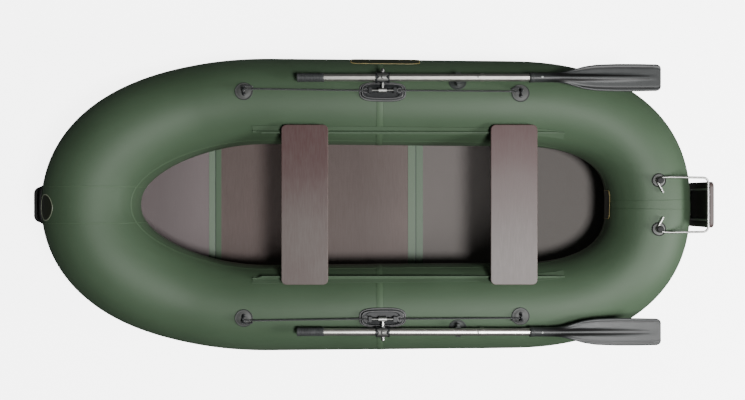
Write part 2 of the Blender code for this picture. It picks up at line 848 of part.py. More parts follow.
def make_rowlock_base():
    top = PAD_LIFT + PAD_T
    layers = [(1, PAD_LIFT + PAD_T / 3), (PAD_TOP_SHARE, top), (0, top)]
    args = (ROWLOCK_RUN, LINE_ANGLE, PAD_HALF_L, PAD_HALF_W)
    port_copy(tube_plate("rowlock_pad_starboard", *args, layers, RUBBER, PAD_LIFT, PAD_POWER, 24))
    rim = FRAME_LIFT + FRAME_RIM_H
    floor = FRAME_LIFT + FRAME_FLOOR_T
    inner = 1 - FRAME_RIM_W / FRAME_HALF_W
    layers = [(1, rim - FRAME_FLOOR_T), (1 - FRAME_CHAMFER_SHARE, rim), (inner + FRAME_CHAMFER_SHARE, rim)]
    layers += [(inner, rim - FRAME_FLOOR_T), (inner, floor), (0, floor)]
    args = (ROWLOCK_RUN, LINE_ANGLE, FRAME_HALF_L, FRAME_HALF_W)
    frame = tube_plate("rowlock_frame_starboard", *args, layers, BLACK_PLASTIC, FRAME_LIFT, FRAME_POWER, 24)
    deck = tube_point(ROWLOCK_RUN, LINE_ANGLE, FRAME_LIFT).z
    for side in (-1, 1):
        inside, outside = sorted((AXLE.x + side * AXLE_BLOCK_IN, AXLE.x + side * AXLE_BLOCK_OUT))
        low = Vector((inside, AXLE.y - AXLE_BLOCK_HALF_W, deck + FRAME_FLOOR_T / 2))
        high = Vector((outside, AXLE.y + AXLE_BLOCK_HALF_W, AXLE.z + AXLE_R + AXLE_COVER))
        combine(frame, box_mesh("axle_block", low, high), "UNION")
        well = Vector((AXLE.x + side * WELL_X, AXLE.y, deck + WELL_FLOOR_T))
        boss_r = WELL_R + FRAME_RIM_W / 2
        top = Vector((well.x, well.y, rim_top()))
        boss = cylinder("well_boss", well - UP * FRAME_FLOOR_T / 2, top, boss_r)
        combine(frame, boss, "UNION")
    bore = ALONG * (AXLE_HALF_L + FIT)
    combine(frame, cylinder("axle_bore", AXLE - bore, AXLE + bore, AXLE_R + FIT), "DIFFERENCE")
    for side in (-1, 1):
        well = Vector((AXLE.x + side * WELL_X, AXLE.y, deck + WELL_FLOOR_T))
        top = well + UP * (FRAME_RIM_H + CUT_OVERRUN)
        combine(frame, cylinder("rope_well", well, top, WELL_R), "DIFFERENCE")
    port_copy(settle(frame))
    half = ALONG * AXLE_HALF_L
    name = "rowlock_axle_starboard"
    port_copy(place(name, cylinder(name, AXLE - half, AXLE + half, AXLE_R), STEEL))


def rim_top():
    """Height of the frame's rim, over which the grab lines come out of their wells."""
    return tube_point(ROWLOCK_RUN, LINE_ANGLE, FRAME_LIFT + FRAME_RIM_H).z + BOSS_PROUD


def make_stud(tilt):
    half = ALONG * EYE_HALF_L
    name = "rowlock_stud_starboard"
    eye = place(name, cylinder(name, AXLE - half, AXLE + half, EYE_R, 20), STEEL, tilt)
    start = AXLE + OUTBOARD * (EYE_R / 2)
    combine(eye, cylinder("stud", start, AXLE + OUTBOARD * STUD_L, STUD_R, 12), "UNION")
    bore = ALONG * (EYE_HALF_L + CUT_OVERRUN)
    combine(eye, cylinder("eye_bore", AXLE - bore, AXLE + bore, AXLE_R + PIN_PLAY), "DIFFERENCE")
    return settle(eye)


def nut_seat():
    return OAR_OFFSET + SLEEVE_R + FIT


def make_wing_nut(tilt):
    name = "rowlock_nut_starboard"
    start = AXLE + OUTBOARD * nut_seat()
    nut = place(name, cylinder(name, start, start + OUTBOARD * NUT_L, NUT_R, 12), STEEL, tilt)
    root_out, root_up = WING_ROOT_SHARES
    for side in (-1, 1):
        root = start + OUTBOARD * (NUT_L * root_out) + UP * (side * NUT_R * root_up)
        tip = start + OUTBOARD * (NUT_L * WING_TIP_SHARE) + UP * (side * WING_SPAN)
        path = [root, root.lerp(tip, WING_KNEE_SHARE), tip]
        widths = [WING_T * share for share in WING_WIDTH_SHARES]
        wing = sweep("wing", path, widths, [WING_T / 2] * len(path), ALONG, 8)
        combine(nut, wing, "UNION")
    overrun = OUTBOARD * CUT_OVERRUN
    bore = cylinder("nut_bore", start - overrun, start + OUTBOARD * NUT_L + overrun, STUD_R + FIT, 12)
    combine(nut, bore, "DIFFERENCE")
    return settle(nut)


def stud_bore(obj):
    """Cuts the way for the stud across the oar."""
    start = AXLE + OUTBOARD * (OAR_OFFSET - SLEEVE_R - CUT_OVERRUN)
    end = AXLE + OUTBOARD * (OAR_OFFSET + SLEEVE_R + CUT_OVERRUN)
    combine(obj, cylinder("stud_way", start, end, STUD_R + FIT, 12), "DIFFERENCE")
    return obj


def oar_line(x):
    return Vector((x, AXLE.y + OAR_OFFSET, AXLE.z))


def make_grip(tilt):
    length = GRIP_L
    profile = [(0, 0), (GRIP_R * GRIP_END_SHARE, 0), (GRIP_RIB_R, GRIP_R / 4)]
    step = (length - GRIP_R / 2) / GRIP_RIBS
    flat, dip = (step * share for share in GRIP_RIB_SHARES)
    for i in range(GRIP_RIBS):
        base = GRIP_R / 4 + step * i
        profile += [(GRIP_RIB_R, base + flat), (GRIP_R, base + dip), (GRIP_RIB_R, base + step)]
    profile += [(GRIP_RIB_R, length), (0, length)]
    mesh = turned("grip", profile, oar_line(GRIP_X), UP, ALONG, 12)
    return place("oar_grip_starboard", mesh, BLACK_PLASTIC, tilt)


def make_shafts(tilt):
    grip_end = GRIP_X + GRIP_L + FIT
    length = SHAFT_JOINT_X - grip_end
    collar = JOINT_COLLAR_L
    profile = [(0, 0), (SHAFT_R, 0), (SHAFT_R, length - collar), (JOINT_COLLAR_R, length - collar)]
    profile += [(JOINT_COLLAR_R, length), (0, length)]
    mesh = turned("upper", profile, oar_line(grip_end), UP, ALONG, 16)
    upper = settle(stud_bore(place("oar_shaft_upper_starboard", mesh, ALUMINIUM, tilt)))
    lower_mesh = cylinder("lower", oar_line(SHAFT_JOINT_X + FIT), oar_line(SHAFT_END_X), SHAFT_R)
    lower = place("oar_shaft_lower_starboard", lower_mesh, ALUMINIUM, tilt)
    return upper, lower


def make_sleeve(tilt):
    """Moulded sleeve with a flange at each end and a flat boss where the stud passes."""
    length = 2 * SLEEVE_HALF_L
    flange = SLEEVE_FLANGE_L
    fillet = flange + SLEEVE_FILLET_L
    waist = SLEEVE_R - (SLEEVE_R - SHAFT_R) / 3
    profile = [(0, 0), (SLEEVE_R, 0), (SLEEVE_R, flange), (waist, fillet)]
    profile += [(waist, length - fillet), (SLEEVE_R, length - flange), (SLEEVE_R, length), (0, length)]
    mesh = turned("sleeve", profile, oar_line(ROWLOCK_X - SLEEVE_HALF_L), UP, ALONG, 16)
    sleeve = place("oar_sleeve_starboard", mesh, BLACK_PLASTIC, tilt)
    start = AXLE + OUTBOARD * (OAR_OFFSET - SLEEVE_R)
    end = AXLE + OUTBOARD * (OAR_OFFSET + SLEEVE_R)
    combine(sleeve, cylinder("boss", start, end, SLEEVE_BOSS_R, 12), "UNION")
    reach = SLEEVE_HALF_L + CUT_OVERRUN
    way = cylinder("shaft_way", oar_line(ROWLOCK_X - reach), oar_line(ROWLOCK_X + reach), SHAFT_R + FIT)
    combine(sleeve, way, "DIFFERENCE")
    return settle(stud_bore(sleeve))


# Half width of the blade from neck to tip, and how far its section has gone from round to flat
BLADE_RUN_SHARES = (0, 0.10, 0.17, 0.24, 0.32, 0.41, 0.51, 0.66, 0.82, 0.94, 0.98, 1.0)
BLADE_WIDTH_SHARES = (0.336, 0.336, 0.345, 0.48, 0.66, 0.83, 0.95, 1.0, 1.0, 0.975, 0.87, 0.72)
BLADE_FLAT_SHARES = (0, 0, 0.12, 0.38, 0.66, 0.88, 1.0, 1.0, 1.0, 1.0, 1.0, 1.0)
BLADE_RIB_SHARES = (1.0, 1.0, 1.0, 1.0, 0.95, 0.86, 0.76, 0.6, 0.4, 0.12, 0.0, 0.0)


def blade_half_section(half_w, flat, rib):
    """Upper half of the blade's section as (across, up) pairs, from one edge to the other."""
    edge = BLADE_T * BLADE_EDGE_SHARE
    skin = BLADE_T / 2
    rib_share = RIB_FOOT_SHARE + (1 - RIB_FOOT_SHARE) * rib
    rib_foot = min(BLADE_RIB_W * rib_share, half_w * RIB_LIMIT_SHARE)
    rib_top = skin + (BLADE_RIB_H - skin) * rib
    roll = (half_w * BLADE_GROOVE_SHARE, skin * BLADE_ROLL_SHARE)
    shoulder = (rib_foot * RIB_SHOULDER_SHARES[0], rib_top * RIB_SHOULDER_SHARES[1])
    flat_half = [(half_w, edge), roll, (rib_foot, skin), shoulder]
    half = []
    for i, (across, up) in enumerate(flat_half):
        turn = math.pi / 2 * i / len(flat_half)
        round_across, round_up = BLADE_NECK_R * math.cos(turn), BLADE_NECK_R * math.sin(turn)
        half.append((round_across + (across - round_across) * flat, round_up + (up - round_up) * flat))
    crown = (0, BLADE_NECK_R + (rib_top - BLADE_NECK_R) * flat)
    return half + [crown] + [(-a, u) for a, u in reversed(half)]


def make_blade(tilt):
    rings = []
    length = BLADE_TIP_X - BLADE_NECK_X
    shares = zip(BLADE_RUN_SHARES, BLADE_WIDTH_SHARES, BLADE_FLAT_SHARES, BLADE_RIB_SHARES)
    for at, width, flat, rib in shares:
        centre = oar_line(BLADE_NECK_X + length * at)
        half = [(a, max(u, FIT)) for a, u in blade_half_section(BLADE_HALF_W * width, flat, rib)]
        ring = [centre + OUTBOARD * a + UP * u for a, u in half]
        rings.append(ring + [centre + OUTBOARD * a - UP * u for a, u in reversed(half)])
    mesh = loft("blade", rings)
    blade = place("oar_blade_starboard", mesh, BLACK_PLASTIC, tilt)
    end = oar_line(SHAFT_END_X + FIT)
    start = oar_line(BLADE_NECK_X - CUT_OVERRUN)
    combine(blade, cylinder("socket", start, end, SHAFT_R + FIT), "DIFFERENCE")
    return settle(blade)


def make_oars():
    tilts = {
        side: pivot(f"rowlock_tilt_{side}", Vector((AXLE.x, sign * AXLE.y, AXLE.z)))
        for side, sign in (("starboard", 1), ("port", -1))
    }
    tilt = tilts["starboard"]
    pieces = [make_stud(tilt), make_wing_nut(tilt), make_grip(tilt), make_sleeve(tilt), make_blade(tilt)]
    pieces += make_shafts(tilt)
    for piece in pieces:
        port_copy(piece, tilts["port"])


def eye_frame(run):
    outward = station(run)[1]
    foot = tube_point(run, LINE_ANGLE, EYE_PAD_T)
    out = radial(outward, LINE_ANGLE)
    along = Vector((outward.y, -outward.x, 0))
    return foot, along, out, out.cross(along).normalized()


def make_line_eyes():
    for where, x in (("bow", EYE_BOW_X), ("stern", EYE_STERN_X)):
        run = run_at(x)
        layers = [(1, EYE_PAD_RIM_T)] + [(share, EYE_PAD_T * rise) for share, rise in EYE_DOME_SHARES]
        args = (run, LINE_ANGLE, EYE_PAD_R, EYE_PAD_R)
        eye = tube_plate(f"line_eye_{where}_starboard", *args, layers, RUBBER)
        foot, along, out, across = eye_frame(run)
        sunk = out * (-EYE_PAD_T / 2)
        path = [foot + across * LOOP_R + sunk]
        for i in range(LOOP_STEPS + 1):
            turn = math.pi * i / LOOP_STEPS
            rise = out * (LOOP_LEG_H + LOOP_R * math.sin(turn))
            path.append(foot + across * (LOOP_R * math.cos(turn)) + rise)
        path.append(foot - across * LOOP_R + sunk)
        combine(eye, rod("loop", path, LOOP_WIRE_R, along, 8), "UNION")
        port_copy(settle(eye))


def smooth_path(points, spacing):
    """Points read at even spacing from a smooth curve through the route's own points."""
    dense = []
    ends = [points[0] * 2 - points[1]] + points + [points[-1] * 2 - points[-2]]
    for p0, p1, p2, p3 in zip(ends, ends[1:], ends[2:], ends[3:]):
        for i in range(ROPE_SMOOTH_STEPS):
            t = i / ROPE_SMOOTH_STEPS
            dense.append(
                (
                    p1 * 2
                    + (p2 - p0) * t
                    + (p0 * 2 - p1 * 5 + p2 * 4 - p3) * t**2
                    + (p1 * 3 - p0 - p2 * 3 + p3) * t**3
                )
                / 2
            )
    dense.append(points[-1])
    kept = [dense[0]]
    for p in dense[1:]:
        if (p - kept[-1]).length >= spacing:
            kept.append(p)
    kept[-1] = dense[-1]
    return kept


def line_route(where, x, side):
    """The grab line from its knot in the frame's well to the eye, round one leg of the loop and back."""
    toward = -1 if where == "bow" else 1
    foot, along, out, across = eye_frame(run_at(x))
    if across.y < 0:
        across = -across
    wrap = LOOP_WIRE_R + 2 * FIT + ROPE_R
    lift = out * (ROPE_R + FIT * 2)
    leg = foot + across * LOOP_R + lift
    well = Vector((AXLE.x + toward * WELL_X, AXLE.y, rim_top() - FRAME_RIM_H / 2))
    brink = Vector((well.x + ALONG.x * toward * ROPE_R, AXLE.y, rim_top() + ROPE_R))
    mouth = Vector((AXLE.x + toward * (FRAME_HALF_L + ROPE_R), AXLE.y, rim_top() + ROPE_R + FIT))
    ahead = along if along.x * toward > 0 else -along
    before = leg - across * wrap - ahead * (EYE_PAD_R * ROPE_APPROACH_SHARE)
    straight = leg - across * wrap - ahead * ROPE_R * 2
    turn_points = []
    for i in range(ROPE_TURN_STEPS + 1):
        turn = math.pi * i / ROPE_TURN_STEPS
        turn_points.append(leg - across * (wrap * math.cos(turn)) + ahead * (wrap * math.sin(turn)))
    return_across, return_back = ROPE_RETURN_SHARES
    back = leg + across * (wrap * return_across) - ahead * (EYE_PAD_R * return_back)
    end = leg - across * (wrap - 2 * ROPE_R - FIT * 4) - ahead * ROPE_FORK_L
    near, middle, far = (mouth.lerp(before, share) for share in ROPE_SPAN_SHARES)
    points = [well, brink, mouth, near, middle + UP * FIT, far, before, straight]
    points += turn_points + [back, end]
    return [Vector((p.x, side * p.y, p.z)) for p in points]


def make_lines():
    for where, x in (("bow", EYE_BOW_X), ("stern", EYE_STERN_X)):
        for name, side in (("starboard", 1), ("port", -1)):
            route = line_route(where, x, side)
            near = smooth_path(route[:4], ROPE_R * 2)
            far = smooth_path(route[5:], ROPE_R * 2)
            path = near + [route[4]] + far
            curve = bpy.data.curves.new(f"grab_line_{where}_{name}", "CURVE")
            curve.dimensions = "3D"
            curve.bevel_depth = ROPE_R
            curve.bevel_resolution = 2
            curve.use_fill_caps = True
            spline = curve.splines.new("POLY")
            spline.points.add(len(path) - 1)
            for point, p in zip(spline.points, path):
                point.co = (*p, 1)
            curve.materials.append(ROPE)
            line = bpy.data.objects.new(curve.name, curve)
            bpy.context.scene.collection.objects.link(line)


def make_oar_clips():
    run = run_at(CLIP_X)
    layers = [(1, EYE_PAD_RIM_T)] + [(share, CLIP_PAD_T * rise) for share, rise in CLIP_DOME_SHARES]
    args = (run, CLIP_ANGLE, CLIP_PAD_R, CLIP_PAD_R)
    clip = tube_plate("oar_clip_starboard", *args, layers, RUBBER)
    centre = oar_line(CLIP_X)
    inner = SHAFT_R + CLIP_PLAY
    outer = inner + CLIP_WALL
    base = tube_point(run, CLIP_ANGLE, CLIP_PAD_T / 2)
    foot_w = outer * CLIP_FOOT_SHARE
    knee = -inner * CLIP_KNEE_SHARE
    low = base.z - centre.z
    shape = [(outer, CLIP_RISE), (outer, knee), (foot_w - CLIP_LEAN, low)]
    shape += [(-foot_w - CLIP_LEAN, low), (-outer, knee), (-outer, CLIP_RISE), (-inner, CLIP_RISE)]
    turns = [math.radians(a) for a in range(180, 361, 20)]
    shape += [(inner * math.cos(a), inner * math.sin(a)) for a in turns] + [(inner, CLIP_RISE)]
    start = centre - ALONG * CLIP_HALF_L
    outline = [start + OUTBOARD * y + UP * z for y, z in shape]
    combine(clip, prism("cradle", outline, ALONG * 2 * CLIP_HALF_L), "UNION")
    knob_foot = CLIP_RISE - KNOB_H * KNOB_SUNK_SHARE
    knob = centre + UP * knob_foot - OUTBOARD * (outer + KNOB_R * KNOB_TUCK_SHARE)
    profile = [(KNOB_R * across, KNOB_H * rise) for across, rise in KNOB_SHARES]
    profile = [(0, 0)] + profile + [(0, KNOB_H)]
    combine(clip, turned("knob", profile, knob, ALONG, UP, 14), "UNION")
    port_copy(settle(clip))


def make_bow_handle():
    centre, outward, radius = station(HANDLE_RUN)
    base = centre + outward * (radius * FACET_SHARE + FIT / FACET_SHARE)
    bar_x = tube_point(0, 0).x - HANDLE_REACH + HANDLE_HALF_T
    shoulder = base + outward * HANDLE_BASE_T
    corner = Vector((bar_x, HANDLE_BAR_HALF_L + HANDLE_BEND_R / 2, base.z))
    legs = bent_path([shoulder, corner, Vector((bar_x, 0, base.z))], HANDLE_BEND_R, 4)
    half = [base, base + outward * (HANDLE_BASE_T * HANDLE_NECK_SHARE)] + legs
    path = half + [Vector((p.x, -p.y, p.z)) for p in reversed(half[:-1])]
    count = len(path)
    near = [min(i, count - 1 - i) for i in range(count)]
    half_side = [HANDLE_BASE_HALF_L if n < 2 else HANDLE_HALF_T for n in near]
    half_up = [HANDLE_BASE_HALF_H if n < 2 else HANDLE_HALF_H for n in near]
    mesh = sweep("bow_handle", path, half_side, half_up, UP, 12)
    place("bow_handle", mesh, BLACK_PLASTIC)


def rod_plane():
    """Height at which the transom's rod lies on the post pads."""
    return tube_point(POST_RUN, 90, POST_PAD_T + FIT + ROD_R).z


def make_posts():
    stem = POST_STEM_R / POST_PAD_R
    cap = POST_CAP_R / POST_PAD_R
    neck = POST_PAD_T + 2 * ROD_R + 2 * FIT + POST_STEM_R / 4
    layers = [(1, POST_PAD_RIM_T)] + [(share, POST_PAD_T * rise) for share, rise in POST_DOME_SHARES]
    layers += [(stem, POST_PAD_T), (stem, neck), (cap, neck), (cap, neck + POST_CAP_T * POST_CAP_SHARE)]
    layers += [(cap * POST_CAP_SHARE, neck + POST_CAP_T), (0, neck + POST_CAP_T)]
    args = (POST_RUN, 90, POST_PAD_R, POST_PAD_R)
    port_copy(tube_plate("transom_post_starboard", *args, layers, RUBBER, foot=POST_FOOT_SHARES))


def make_transom():
    post = tube_point(POST_RUN, 90)
    post.z = rod_plane()
    wrap = POST_STEM_R + PIN_PLAY + ROD_R
    bar_x = TRANSOM_X - FIT - ROD_R

    def round_post(angle):
        turn = math.radians(angle)
        return post + Vector((math.cos(turn), math.sin(turn), 0)) * wrap

    tail_turn = math.radians(HOOK_TAIL_ANGLE + 90)
    tail = round_post(HOOK_TAIL_ANGLE) + Vector((math.cos(tail_turn), math.sin(tail_turn), 0)) * HOOK_TAIL_L
    hook_steps = 6
    hook = [
        round_post(HOOK_TAIL_ANGLE + (HOOK_LEAVE_ANGLE - HOOK_TAIL_ANGLE) * i / hook_steps)
        for i in range(hook_steps + 1)
    ]
    swell = post + Vector((ARM_SWELL_X, ARM_SWELL_Y, 0))
    corner = Vector((bar_x, post.y + ARM_CORNER_Y, post.z))
    arm = bent_path([swell, corner, Vector((bar_x, 0, post.z))], ARM_BEND_R)
    half = [tail] + hook + arm
    path = half + [Vector((p.x, -p.y, p.z)) for p in reversed(half[:-1])]
    place("transom_frame", rod("transom_frame", path, ROD_R, UP), STEEL)
    top = post.z - ROD_R - FIT
    bottom = TRANSOM_TOP_Z - TRANSOM_H + STAY_BOTTOM_MARGIN
    corners = [
        Vector((bar_x, STAY_HALF_W, top)),
        Vector((bar_x, STAY_HALF_W, bottom)),
        Vector((bar_x, -STAY_HALF_W, bottom)),
        Vector((bar_x, -STAY_HALF_W, top)),
    ]
    place("transom_stay", rod("transom_stay", bent_path(corners, STAY_BEND_R), ROD_R, ALONG), STEEL)
    plan = rounded_rectangle(TRANSOM_HALF_W, TRANSOM_H / 2, TRANSOM_CORNER_R)
    middle = TRANSOM_TOP_Z - TRANSOM_H / 2
    outline = [Vector((TRANSOM_X, a, middle + b)) for a, b in plan]
    board = place("transom_board", prism("transom_board", outline, ALONG * TRANSOM_T), PLYWOOD)
    soften(board, TRANSOM_EDGE_R, 1)


def make_valves():
    for name, x in (("valve_bow", VALVE_BOW_X), ("valve_stern", VALVE_STERN_X)):
        run = run_at(x)
        centre, outward, radius = station(run)
        out = radial(outward, VALVE_ANGLE)
        foot = centre + out * (radius * FACET_SHARE + FIT)
        rim = VALVE_R - VALVE_FLANGE_T
        profile = [(0, 0), (VALVE_R, 0), (VALVE_R, VALVE_FLANGE_T / 2), (rim, VALVE_FLANGE_T)]
        profile += [(VALVE_BODY_R, VALVE_FLANGE_T), (VALVE_BODY_R, VALVE_H - VALVE_CHAMFER)]
        profile += [(VALVE_BODY_R - VALVE_CHAMFER, VALVE_H), (0, VALVE_H)]
        place(name, turned(name, profile, foot, ALONG, out, 18), PALE_PLASTIC)


make_tubes()
make_bottom()
make_seam_bands()
make_floor()
make_rails()
make_seat("front", FRONT_SEAT_X)
make_seat("rear", REAR_SEAT_X)
make_rowlock_base()
make_oars()
make_line_eyes()
make_lines()
make_oar_clips()
make_bow_handle()
make_posts()
make_transom()
make_valves()
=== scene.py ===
import bisect
import math
from functools import partialmethod

import bmesh
import bpy
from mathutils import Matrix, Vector, noise


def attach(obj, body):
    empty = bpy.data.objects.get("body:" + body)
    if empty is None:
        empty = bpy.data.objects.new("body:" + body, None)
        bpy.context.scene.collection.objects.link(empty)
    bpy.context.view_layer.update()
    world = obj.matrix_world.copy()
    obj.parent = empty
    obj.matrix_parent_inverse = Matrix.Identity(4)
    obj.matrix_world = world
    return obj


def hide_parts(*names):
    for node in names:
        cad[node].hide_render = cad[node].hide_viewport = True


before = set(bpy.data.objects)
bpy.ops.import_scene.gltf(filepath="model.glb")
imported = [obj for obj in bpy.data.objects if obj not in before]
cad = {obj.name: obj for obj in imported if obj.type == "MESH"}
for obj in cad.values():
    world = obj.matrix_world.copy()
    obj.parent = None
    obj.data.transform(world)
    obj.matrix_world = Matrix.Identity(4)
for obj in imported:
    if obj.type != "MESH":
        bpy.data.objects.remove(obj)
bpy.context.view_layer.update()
print("frame loaded")

up = Vector((0, 0, 1))
aft = Vector((1, 0, 0))
starboard = Vector((0, 1, 0))
sides = (("starboard", 1), ("port", -1))

# The hull's centreline and tube, with the same sizes as the solids
hull = dict(
    bowTip=-1.246, sternTip=1.316, bowBeam=0.4808, sternBeam=0.4702, bowCurve=-0.451, sternCurve=0.654,
    bowPower=2.10, sternPower=2.43, radius=0.1995, bowRadius=0.2175, sternRadius=0.191,
    swellStart=-0.5, swellRun=0.8, narrowStart=0.6, narrowRun=0.7, rise=0.09, riseStart=-0.7385, riseRun=0.56,
    base=0.0015, facetShare=math.cos(math.pi / 24), skinLift=0.0006, seam=0.065,
)


def ease(share):
    share = min(max(share, 0), 1)
    return share * share * (3 - 2 * share)


def curveTable(steps=900):
    points = []
    for end in ("bow", "stern"):
        tip, start, beam, power = (hull[end + word] for word in ("Tip", "Curve", "Beam", "Power"))
        turns = range(steps + 1) if end == "bow" else range(steps, -1, -1)
        for i in turns:
            turn = math.pi / 2 * i / steps
            x = start + (tip - start) * max(math.cos(turn), 0) ** (2 / power)
            points.append((x, beam * math.sin(turn) ** (2 / power)))
    lengths = [0.0]
    for (x0, y0), (x1, y1) in zip(points, points[1:]):
        lengths.append(lengths[-1] + math.hypot(x1 - x0, y1 - y0))
    return lengths, [p[0] for p in points], [p[1] for p in points]


tableLengths, tableX, tableY = curveTable()
sideLength = tableLengths[-1]


def between(keys, values, key):
    i = min(max(bisect.bisect_right(keys, key), 1), len(keys) - 1)
    span = keys[i] - keys[i - 1]
    share = (key - keys[i - 1]) / span if span else 0
    return values[i - 1] + (values[i] - values[i - 1]) * share


def runAt(x):
    return between(tableX, tableLengths, x)


def centreline(run):
    side = 1 if run >= 0 else -1
    run = abs(run)
    if run > sideLength:
        run, side = 2 * sideLength - run, -side
    return Vector((between(tableLengths, tableX, run), side * between(tableLengths, tableY, run), 0))


def radiusAt(x):
    swell = ease((hull["swellStart"] - x) / hull["swellRun"])
    narrow = ease((x - hull["narrowStart"]) / hull["narrowRun"])
    grow = (hull["bowRadius"] - hull["radius"]) * swell + (hull["sternRadius"] - hull["radius"]) * narrow
    return hull["radius"] + grow


def station(run, reach=0.004):
    centre = centreline(run)
    ahead = centreline(run + reach) - centreline(run - reach)
    outward = Vector((-ahead.y, ahead.x, 0)).normalized()
    radius = radiusAt(centre.x)
    rise = hull["rise"] * ease((hull["riseStart"] - centre.x) / hull["riseRun"])
    centre.z = hull["base"] + radius * hull["facetShare"] + rise
    return centre, outward, radius


def radial(outward, angle):
    turn = math.radians(angle)
    return outward * math.cos(turn) + up * math.sin(turn)


def solidPoint(run, angle, lift=0.0):
    centre, outward, radius = station(run)
    return centre + radial(outward, angle) * (radius + lift / hull["facetShare"])


def skinPoint(run, angle, lift=0.0):
    centre, outward, radius = station(run)
    return centre + radial(outward, angle) * (radius * hull["facetShare"] + hull["skinLift"] + lift)


# Points of a unit circle, pushed towards the corners of a box as the power grows
def turned(count, power=2.0):
    points = []
    for i in range(count):
        a, b = math.cos(2 * math.pi * i / count), math.sin(2 * math.pi * i / count)
        points.append((math.copysign(abs(a) ** (2 / power), a), math.copysign(abs(b) ** (2 / power), b)))
    return points


def halfTurned(steps):
    return turned(2 * steps)[:steps + 1]


def flipped(points):
    return [Vector((p.x, -p.y, p.z)) for p in points]


class Shape:
    def __init__(self):
        self.points = []
        self.faces = []

    def loft(self, rings, closedPath=False):
        starts = []
        for ring in rings:
            starts.append(len(self.points))
            self.points += [Vector(p) for p in ring]
        count = len(rings)
        for i in range(count if closedPath else count - 1):
            n = (i + 1) % count
            most = max(len(rings[i]), len(rings[n]))
            for k in range(most):
                m = (k + 1) % most
                low = [starts[i]] if len(rings[i]) == 1 else [starts[i] + k, starts[i] + m]
                high = [starts[n]] if len(rings[n]) == 1 else [starts[n] + m, starts[n] + k]
                self.faces.append(tuple(low + high))
        if not closedPath:
            for i in (0, count - 1):
                if len(rings[i]) > 1:
                    self.faces.append(tuple(range(starts[i], starts[i] + len(rings[i]))))
        return self

    def sweep(self, path, halfSide, halfUp, upward, around=24, power=2.0):
        rings = []
        for i, point in enumerate(path):
            ahead = path[min(i + 1, len(path) - 1)] - path[max(i - 1, 0)]
            across = ahead.cross(upward).normalized()
            over = across.cross(ahead).normalized()
            side = halfSide[i] if isinstance(halfSide, list) else halfSide
            rise = halfUp[i] if isinstance(halfUp, list) else halfUp
            rings.append([point + across * (side * a) + over * (rise * b) for a, b in turned(around, power)])
        return self.loft(rings)

    def lathe(self, profile, origin, axis, around=32):
        side = axis.orthogonal().normalized()
        over = axis.cross(side)
        rings = []
        for radius, height in profile:
            centre = origin + axis * height
            ring = [centre + side * (radius * a) + over * (radius * b) for a, b in turned(around)]
            rings.append(ring if radius else [centre])
        return self.loft(rings)

    def mirrored(self):
        twin = Shape()
        twin.points = flipped(self.points)
        twin.faces = [tuple(reversed(f)) for f in self.faces]
        return twin

    def make(self, name, material, slot, replaced="", body="hull", angle=38):
        bm = bmesh.new()
        made = [bm.verts.new(p) for p in self.points]
        for face in self.faces:
            bm.faces.new([made[i] for i in face])
        bmesh.ops.recalc_face_normals(bm, faces=bm.faces)
        mesh = bpy.data.meshes.new(name)
        bm.to_mesh(mesh)
        bm.free()
        mesh.materials.append(material)
        mesh.shade_smooth()
        mesh.set_sharp_from_angle(angle=math.radians(angle))
        settle(name, mesh, replaced, body)

    def makePair(self, name, material, slot, replaced="", body="hull", angle=38):
        for side, sign in sides:
            piece = self if sign > 0 else self.mirrored()
            gone = f"{replaced}_{side}" if replaced else ""
            carrier = body if body == "hull" else f"{body}_{side}"
            piece.make(f"{name}_{side}", material, slot, gone, carrier, angle)


def addObject(name, data):
    obj = bpy.data.objects.new(name, data)
    bpy.context.scene.collection.objects.link(obj)
    return obj


def settle(name, mesh, replaced, body):
    obj = addObject(name, mesh)
    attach(obj, body)
    if replaced:
        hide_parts(replaced)


def bend(corners, radius, steps=10):
    path = [corners[0]]
    for before, corner, after in zip(corners, corners[1:], corners[2:]):
        toBefore, toAfter = (before - corner).normalized(), (after - corner).normalized()
        half = toBefore.angle(toAfter) / 2
        reach = radius / math.tan(half)
        centre = corner + (toBefore + toAfter).normalized() * (radius / math.sin(half))
        start, end = corner + toBefore * reach - centre, corner + toAfter * reach - centre
        for i in range(steps + 1):
            path.append(centre + start.slerp(end, i / steps, start).normalized() * radius)
    path.append(corners[-1])
    return path


def smoothPath(points, spacing, steps=24):
    dense = []
    ends = [points[0] * 2 - points[1]] + points + [points[-1] * 2 - points[-2]]
    for p0, p1, p2, p3 in zip(ends, ends[1:], ends[2:], ends[3:]):
        for i in range(steps):
            t = i / steps
            cubic = (p1 * 3 - p0 - p2 * 3 + p3) * t**3
            dense.append((p1 * 2 + (p2 - p0) * t + (p0 * 2 - p1 * 5 + p2 * 4 - p3) * t**2 + cubic) / 2)
    dense.append(points[-1])
    kept = [dense[0]]
    for p in dense[1:]:
        if (p - kept[-1]).length >= spacing:
            kept.append(p)
    kept[-1] = dense[-1]
    return kept


def connect(slot, value, tree):
    if isinstance(value, Wire):
        tree.links.new(value.socket, slot)
    else:
        slot.default_value = value


def addNode(tree, kind, out=0, settings=None, values=None):
    made = tree.nodes.new(kind)
    for key, value in (settings or {}).items():
        setattr(made, key, value)
    for key, value in (values or {}).items():
        connect(made.inputs[key], value, tree)
    return Wire(tree, made.outputs[out])


